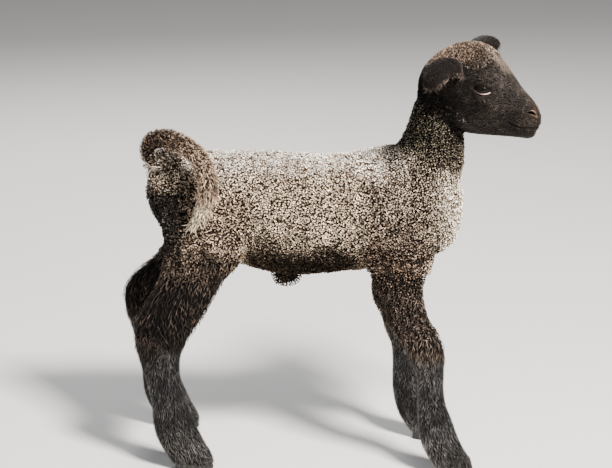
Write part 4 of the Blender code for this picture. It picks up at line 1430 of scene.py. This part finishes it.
def split(name, roots, parts, make):
    """Makes the coat of those roots in several pieces."""
    order = np.argsort(roots.place[:, 0], kind="stable")
    for number, chosen in enumerate(np.array_split(order, parts), 1):
        make(f"{name}_{number}", roots.where(chosen))


def rump_rise(places):
    """Longer wool on the rump under the arch of the tail, so that it fills the loop."""
    away = (places - RUMP_PLACE) / RUMP_REACH
    return RUMP_RISE * (1 - ease(np.linalg.norm(away, axis=1), 0.7, 1.25))


def fleece_height(places):
    return 4.4 + rump_rise(places) + 1.1 * wrinkles(places)


def neck_height(places):
    return 1.1 + 3.4 * ease(behind_throat(places), -16, 24)


body_roots = rooted(WOOLLY & ~ON_NECK, SPACING["body"], body_lie)
in_loop = rump_rise(body_roots.place) > 2
rump_widths = (0.6, 0.65, 0.6, 0.25)
in_loop_roots = body_roots.where(in_loop)
locks("rump_locks", in_loop_roots, length=7, lift=14, wave=2.0, wild=0.8, widths=rump_widths)


def body_curls(name, roots):
    curls(name, roots, height=fleece_height(roots.place), radius=1.3, turns=0.85, wild=1.3)


split("body_fleece", body_roots, BODY_PARTS, body_curls)
neck_roots = rooted(ON_NECK | ON_NAPE, SPACING["neck"], neck_lie)
neck_rise = neck_height(neck_roots.place)
curls("neck_fleece", neck_roots, height=neck_rise, radius=1.05, turns=0.8, wild=1.0)
poll_roots = rooted(ON_POLL & ~BARE, SPACING["poll"], face_lie)
poll_widths = (0.42, 0.44, 0.42, 0.36, 0.22)
curls("poll_curls", poll_roots, height=1.2, radius=0.95, turns=0.9, wild=2.0, widths=poll_widths)

# %% Hair of the legs
ragged_end = shag_end - 7 + 10 * ripple(CENTRES, 9.0, 22)
SHAGGY = ON_LEG & ON_BODY & (height < shag_top + 4) & (height > ragged_end)
CURLY_LEG = SHAGGY & (height > np.where(IS_FORE, 160, 222))
SHANKS = (height < shag_end + 2) & ~HOOF_FACES

leg_roots = rooted(CURLY_LEG, SPACING["leg curls"], leg_lie)


def leg_curls(name, roots):
    curls(name, roots, height=2.4, radius=1.1, turns=0.8, wild=1.2)


split("upper_leg_curls", leg_roots, LEG_PARTS, leg_curls)
shag_roots = rooted(SHAGGY & (height < np.where(IS_FORE, 215, 246)), SPACING["leg locks"], leg_lie)
shag_lift = 1.3 + 1.4 * ease(shag_roots.place[:, 2], 145, 178)
shag_widths = (0.52, 0.52, 0.42, 0.1)
locks("upper_leg_locks", shag_roots, length=10, lift=shag_lift, wave=0.9, wild=0.4, widths=shag_widths)
shank_roots = rooted(SHANKS, SPACING["shank"], leg_lie)


def shank_hairs(name, roots):
    hairs(name, roots, length=6.0, lift=1.5, bend=0.5, wild=0.3)


split("shank_hair", shank_roots, LEG_PARTS, shank_hairs)

# %% Hair of the tail
tail_roots = rooted(ON_TAIL, SPACING["tail"], tail_lie)
tail_widths = (0.44, 0.46, 0.42, 0.14)
locks("tail_fleece", tail_roots, length=6.0, lift=3.0, wave=1.0, wild=0.6, widths=tail_widths)
fringe_roots = rooted(ON_TAIL & (TAIL_ROW > 84), SPACING["fringe"], tail_lie)
fringe_widths = (0.6, 0.6, 0.5, 0.1)
locks("tail_fringe", fringe_roots, length=17, lift=3.0, wave=1.6, wild=0.4, widths=fringe_widths)

# %% Hair of the face and ears
FACE = ON_HEAD & ~ON_POLL & ~BARE


def face_length(places):
    """Short hair, and shorter towards the eyes, nostrils and lips."""
    local = in_head(places)
    share = 1 - 0.4 * ease(local[:, 0], 70, 98)
    for side in SIDES.values():
        gap, _, _ = lens_gap(local, side)
        near = (1 - ease(gap, 2.5, 8)) * eye_side(local, side)
        share = share * (1 - 0.5 * near)
    return 3.6 * share


face_roots = rooted(FACE, SPACING["face"], face_lie)
hairs(
    "face_hair",
    face_roots,
    length=face_length(face_roots.place),
    lift=0.8,
    bend=0.3,
    wild=0.3,
    widths=(0.3, 0.1),
    tone=0.3,
)
ear_roots = rooted(ON_EAR, SPACING["ear"], ear_lie)
hairs("ear_hair", ear_roots, length=4.4, lift=1.1, bend=0.3, wild=0.3)
ear_open = way_in_head(SKIN_NORMALS[CORNERS[:, 0]]) @ EAR_FACES
lining_roots = rooted(ON_EAR & (ear_open > 0.3), SPACING["lining"], lining_lie)
lining_widths = (0.34, 0.32, 0.26, 0.06)
locks("ear_lining", lining_roots, 8, lift=2.4, wave=0.7, wild=0.4, widths=lining_widths, stations=5)

# %% Lashes


def planted(places, lie):
    """Roots at given places, with the unwrap of the nearest triangle of the skin."""
    near = [int(np.argmin(((CENTRES - place) ** 2).sum(axis=1))) for place in places]
    return Roots(places, unit(SKIN_NORMALS[CORNERS[near, 0]]), UNWRAP[near, 0], lie)


def lens_edge(side, angles, reach):
    """Places on the edge of the opening between the lids, at a distance from the eye's middle."""
    length, opening = EYE_OPENING
    along = length / 2 * np.cos(angles)
    up = opening / 2 * np.abs(np.sin(angles)) ** 1.3 * np.sign(np.sin(angles))
    ahead = along * math.cos(EYE_SLANT) + up * math.sin(EYE_SLANT)
    rise = up * math.cos(EYE_SLANT) - along * math.sin(EYE_SLANT)
    out = np.sqrt(np.maximum(reach**2 - ahead**2 - rise**2, 1))
    return on_side(EYE_PLACE, side) + np.stack([ahead, side * out, rise], axis=1)


LASHES = 30
lash_angles = np.linspace(0.6, 2.7, LASHES)
for side_name, side in SIDES.items():
    edge = lens_edge(side, lash_angles, EYE_RADIUS + 0.8)
    fan = ways(edge, np.cos(lash_angles) * 0.6, side * 0.8, 0.1)
    lash_roots = planted(from_head(edge), unit(way_from_head(fan)))
    hairs(
        f"lashes_{side_name}",
        lash_roots,
        length=2.2,
        lift=0.2,
        bend=0.2,
        wild=0.1,
        widths=(0.09, 0.08, 0.04),
        stations=3,
    )

# %% [markdown]
# ## Eyes
# A lamb's eye is nearly black, with a dark brown iris and a level slit of a pupil, under a wet, clear
# surface. It is a full ball, as deep in the head as a real one, and only the part between the lids shows.

# %% Eyeballs
EYE_SEGMENTS, EYE_RINGS = 64, 40


def eyeball(side_name):
    """A ball whose points know their way from its middle: forward, up and outward."""
    side = SIDES[side_name]
    middle = on_side(EYE_PLACE, side)
    item = ellipsoid(f"eyeball_{side_name}", from_head(middle), (EYE_RADIUS,) * 3, EYE_SEGMENTS, EYE_RINGS)
    forward, left, up = unit(in_head(points_of(item)) - middle).T
    store(item.data, "gaze", "FLOAT_VECTOR", "vector", np.stack([forward, up, side * left], axis=1))
    return smooth(item)


eyeballs = {side_name: eyeball(side_name) for side_name in SIDES}

# %% Rims of the lids
RIM_STATIONS, RIM_SIDES = 72, 8


def lid_rim(side_name):
    """A moist rim that follows the opening: thin and dark above, pale and thicker below."""
    side = SIDES[side_name]
    angles = np.arange(RIM_STATIONS) * math.tau / RIM_STATIONS
    below = ease(-np.sin(angles), -0.1, 0.5)
    middle = lens_edge(side, angles, EYE_RADIUS + 0.3)
    outward = unit(middle - on_side(EYE_PLACE, side))
    way = unit(np.roll(middle, -1, axis=0) - np.roll(middle, 1, axis=0))
    across = np.cross(way, outward)
    inner = ease(np.cos(angles), -0.3, 0.6)
    thick = 0.3 + 0.24 * below * (0.3 + 0.7 * inner)
    rings = []
    for angle in np.arange(RIM_SIDES) * math.tau / RIM_SIDES:
        reach = across * math.cos(angle) + outward * math.sin(angle) * 0.8
        rings.append(middle + reach * thick[:, None])
    points = np.stack(rings, axis=1).reshape(-1, 3)
    faces = np.array(wall_faces(RIM_STATIONS + 1, RIM_SIDES)) % len(points)
    item = outwards(from_faces(f"lid_rim_{side_name}", from_head(points), faces.tolist()))
    pale = below * (0.12 + 0.88 * inner**2)
    store(item.data, "pale", "FLOAT", "value", np.repeat(pale, RIM_SIDES))
    return smooth(item)


lid_rims = {side_name: lid_rim(side_name) for side_name in SIDES}

# %% [markdown]
# ## Hooves
# The solids of the claws have the right size and stance. Each is copied, its doubled corners merged,
# and its edges rounded by a Bevel modifier. Its growth rings are so fine that the material raises them.

# %% Claws


def rounded_claw(node_name):
    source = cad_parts[node_name]
    item = bpy.data.objects.new(node_name.replace("hoof_", "claw_"), source.data.copy())
    bpy.context.scene.collection.objects.link(item)
    edit_all(item)
    bpy.ops.mesh.remove_doubles(threshold=0.00001)
    bpy.ops.mesh.dissolve_limited(angle_limit=math.radians(3))
    leave_edit()
    applied(item, "BEVEL", width=1.2 * MM, segments=3, limit_method="ANGLE", angle_limit=math.radians(35))
    applied(item, "TRIANGULATE")
    only(item)
    bpy.ops.object.shade_smooth_by_angle(angle=math.radians(40))
    return item


claws = {name: rounded_claw(name) for name in sorted(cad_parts) if name.startswith("hoof_")}
print("claws:", len(claws))

# %% [markdown]
# ## Materials
# Wool scatters light and hardly shines, the short hair of face and legs has a dull gloss, horn is dull
# and the eye is wet. What the coats share is built once as a node group: it mixes the colour of the root
# into that of the tip along each tuft, and streaks it as strands do.

# %% Helpers for nodes


def feed(tree, node, inputs):
    """Gives each input of a node a value, or links another node's output to it."""
    for name, value in inputs.items():
        if isinstance(value, bpy.types.NodeSocket):
            tree.links.new(value, node.inputs[name])
        else:
            node.inputs[name].default_value = value
    return node


def add_node(tree, kind, inputs, **settings):
    node = tree.nodes.new(kind)
    for name, value in settings.items():
        setattr(node, name, value)
    return feed(tree, node, inputs)


def read_attribute(tree, name, output):
    """What a mesh stores under that name."""
    return add_node(tree, "ShaderNodeAttribute", {}, attribute_name=name).outputs[output]


def share_between(tree, value, low, high, **settings):
    """0 where the value is low, 1 where it is high."""
    inputs = {"Value": value, "From Min": low, "From Max": high}
    return add_node(tree, "ShaderNodeMapRange", inputs, **settings).outputs["Result"]


def mixed(tree, share, first, second):
    """The first colour where the share is 0, the second where it is 1."""
    inputs = {"Factor": share, "A": first, "B": second}
    return add_node(tree, "ShaderNodeMix", inputs, data_type="RGBA").outputs["Result"]


def opaque(red, green, blue):
    """A colour as a screen shows it, for a socket."""
    return (*seen(red, green, blue), 1)


def ramp(tree, share, first, second):
    """A colour ramp from the first colour to the second."""
    made = add_node(tree, "ShaderNodeValToRGB", {"Fac": share})
    made.color_ramp.elements[0].color = opaque(*first)
    made.color_ramp.elements[1].color = opaque(*second)
    return made.outputs["Color"]


def raised(tree, height, strength, distance):
    """A normal that raises fine relief."""
    inputs = {"Height": height, "Strength": strength, "Distance": distance}
    return add_node(tree, "ShaderNodeBump", inputs).outputs["Normal"]


def new_material(name, values):
    """A material, its tree, and its Principled shader with those values."""
    made = bpy.data.materials.new(name)
    made.use_nodes = True
    tree = made.node_tree
    return made, tree, feed(tree, tree.nodes["Principled BSDF"], values)


# %% A node group for the coat's colour


def coat_group():
    tree = bpy.data.node_groups.new("coat_colour", "ShaderNodeTree")
    for name, value in {"Streaks": 0.5, "Streak Scale": 2.5}.items():
        socket = tree.interface.new_socket(name, in_out="INPUT", socket_type="NodeSocketFloat")
        socket.default_value = value
    for name, kind in {"Colour": "NodeSocketColor", "Height": "NodeSocketFloat"}.items():
        tree.interface.new_socket(name, in_out="OUTPUT", socket_type=kind)
    given = add_node(tree, "NodeGroupInput", {}).outputs
    noise = {
        "Vector": read_attribute(tree, "fibre", "Vector"),
        "Scale": given["Streak Scale"],
        "Detail": 3,
        "Roughness": 0.6,
    }
    streaks = add_node(tree, "ShaderNodeTexNoise", noise).outputs["Fac"]
    along = read_attribute(tree, "along", "Fac")
    towards_tip = share_between(tree, along, 0.15, 0.65, interpolation_type="SMOOTHSTEP")
    ends = [read_attribute(tree, name, "Color") for name in ("root_colour", "tip_colour")]
    colour = mixed(tree, towards_tip, *ends)
    least = add_node(tree, "ShaderNodeMath", {0: 1.0, 1: given["Streaks"]}, operation="SUBTRACT")
    contrast = {
        "Value": streaks,
        "From Min": 0.3,
        "From Max": 0.7,
        "To Min": least.outputs["Value"],
        "To Max": 1.25,
    }
    light = add_node(tree, "ShaderNodeMapRange", contrast).outputs["Result"]
    scaled = {"Vector": colour, "Scale": light}
    shaded = add_node(tree, "ShaderNodeVectorMath", scaled, operation="SCALE").outputs["Vector"]
    add_node(tree, "NodeGroupOutput", {"Colour": shaded, "Height": streaks})
    return tree


COAT_GROUP = coat_group()

# %% Coat materials
DULL = 0.1  # specular level of hair and of the eye, whose highlight would else hide its dark colour


def coat_material(name, roughness, streaks, scale, bump):
    made, tree, shader = new_material(name, {"Roughness": roughness, "Specular IOR Level": DULL})
    values = {"Streaks": streaks, "Streak Scale": scale}
    group = add_node(tree, "ShaderNodeGroup", values, node_tree=COAT_GROUP)
    normal = raised(tree, group.outputs["Height"], bump, 0.0006)
    feed(tree, shader, {"Base Color": group.outputs["Colour"], "Normal": normal})
    return made


WOOL = coat_material("lamb wool", roughness=0.85, streaks=0.45, scale=2.2, bump=0.4)
HAIR = coat_material("short hair", roughness=0.55, streaks=0.5, scale=2.0, bump=0.3)
SKIN = coat_material("skin under the coat", roughness=0.8, streaks=0.6, scale=1.6, bump=0.6)

# %% Eye, lid, horn and floor


def off_axis(tree, gaze, scale):
    """How far a place on the eye lies from the middle of its front, each way scaled."""
    scaled = add_node(tree, "ShaderNodeMapping", {"Vector": gaze, "Scale": scale}).outputs["Vector"]
    return add_node(tree, "ShaderNodeVectorMath", {0: scaled}, operation="LENGTH").outputs["Value"]


def eye_material():
    values = {"Base Color": opaque(20, 12, 8), "Roughness": 0.08, "Specular IOR Level": DULL}
    made, tree, shader = new_material("wet eye", values)
    gaze = read_attribute(tree, "gaze", "Vector")
    rays = add_node(tree, "ShaderNodeTexNoise", {"Vector": gaze, "Scale": 14}).outputs["Fac"]
    iris = ramp(tree, rays, (11, 8, 6), (26, 19, 14))
    beyond_slit = share_between(tree, off_axis(tree, gaze, (1.0, 2.6, 0.0)), 0.36, 0.44)
    inner = mixed(tree, beyond_slit, opaque(6, 5, 5), iris)
    beyond_iris = share_between(tree, off_axis(tree, gaze, (1.0, 1.0, 0.0)), 0.62, 0.74)
    feed(tree, shader, {"Base Color": mixed(tree, beyond_iris, inner, opaque(15, 11, 9))})
    return made


def lid_material():
    made, tree, shader = new_material("lid rim", {"Base Color": opaque(90, 70, 64), "Roughness": 0.25})
    colour = ramp(tree, read_attribute(tree, "pale", "Fac"), (16, 12, 11), (204, 166, 162))
    feed(tree, shader, {"Base Color": colour})
    return made


def horn_material():
    made, tree, shader = new_material("hoof horn", {"Base Color": opaque(40, 36, 33), "Roughness": 0.5})
    place = add_node(tree, "ShaderNodeTexCoord", {}).outputs["Object"]
    wave = {"Vector": place, "Scale": 160, "Distortion": 1.2}
    rings = add_node(tree, "ShaderNodeTexWave", wave, bands_direction="Z").outputs["Fac"]
    colour = ramp(tree, rings, (15, 13, 12), (34, 30, 26))
    feed(tree, shader, {"Base Color": colour, "Normal": raised(tree, rings, 0.4, 0.0003)})
    return made


EYE = eye_material()
LID = lid_material()
HORN = horn_material()
FLOOR = new_material("pale floor", {"Base Color": opaque(214, 212, 208), "Roughness": 0.8})[0]

# %% [markdown]
# ## Set the pieces in place
# Everything was made in the frame of the tables, so it moves once, by its mesh, to where the solids stand.
# Each piece then rides on the one body, takes its finish, and stands for the solids that it replaces.

# %% Move, ride, give a finish and replace


def settle(item, finish, slot, replaced=(), moved=True):
    if moved:
        item.data.transform(Matrix.Translation(STAND))
    item.data.materials.clear()
    item.data.materials.append(finish)
    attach(item, "root")
    if replaced:
        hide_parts(*replaced)


flesh = [name for name in sorted(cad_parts) if not name.startswith(("eye_", "hoof_"))]
settle(skin, SKIN, "wool", flesh)
COAT_SLOTS = {
    "face_hair": (HAIR, "face_fur"),
    "ear": (HAIR, "face_fur"),
    "lashes": (HAIR, "face_fur"),
    "poll_curls": (WOOL, "face_fur"),
    "upper_leg": (WOOL, "leg_fur"),
    "shank_hair": (HAIR, "leg_fur"),
}


def finish_of(name):
    for start, given in COAT_SLOTS.items():
        if name.startswith(start):
            return given
    return WOOL, "wool"


for piece in coat_pieces:
    settle(piece, *finish_of(piece.name))
for side_name in SIDES:
    settle(eyeballs[side_name], EYE, "eye", [f"eye_{side_name}"])
    settle(lid_rims[side_name], LID, "face_fur")
for node_name, claw in claws.items():
    settle(claw, HORN, "hoof_horn", [node_name], moved=False)

# %% [markdown]
# ## Floor, light and camera
# The photograph's light comes from high in front of the lamb, on its right. A soft lamp stands there, with
# a weak one behind the camera and one behind the lamb, over a plain pale floor. The camera stands where
# the photograph's did, worked out from the feet and ears.

# %% Floor and light
bpy.ops.mesh.primitive_plane_add(size=12, location=(0, 0, 0))
floor = bpy.context.object
floor.name = "floor"
floor.data.materials.append(FLOOR)


def aim(item, place, target):
    item.rotation_euler = (Vector(target) - Vector(place)).to_track_quat("-Z", "Y").to_euler()


def lamp(name, place, target, size, power, colour=(1, 1, 1)):
    bpy.ops.object.light_add(type="AREA", location=place)
    item = bpy.context.object
    item.name = name
    item.data.size = size
    item.data.energy = power
    item.data.color = colour
    aim(item, place, target)


lamp("key", (1.1, -1.3, 2.2), (0, 0, 0.25), size=0.5, power=300, colour=(1, 0.955, 0.9))
lamp("fill", (-1.6, -1.8, 1.0), (0, 0, 0.25), size=1.6, power=12, colour=(0.9, 0.95, 1))
lamp("back", (-0.6, 1.8, 1.7), (0, 0, 0.3), size=1.0, power=44)
world = bpy.data.worlds.new("studio")
bpy.context.scene.world = world
world.use_nodes = True
sky = {"Color": (0.85, 0.9, 1.0, 1), "Strength": 0.22}
feed(world.node_tree, world.node_tree.nodes["Background"], sky)

# %% Camera
CAMERA_PLACE = Vector((0.1768, -2.0207, 0.8035)) + STAND
CAMERA_TARGET = Vector((0, 0, 0.26)) + STAND
bpy.ops.object.camera_add(location=CAMERA_PLACE)
camera = bpy.context.object
aim(camera, CAMERA_PLACE, CAMERA_TARGET)
camera.data.lens = 109.3
camera.data.sensor_width = 36
bpy.context.scene.camera = camera
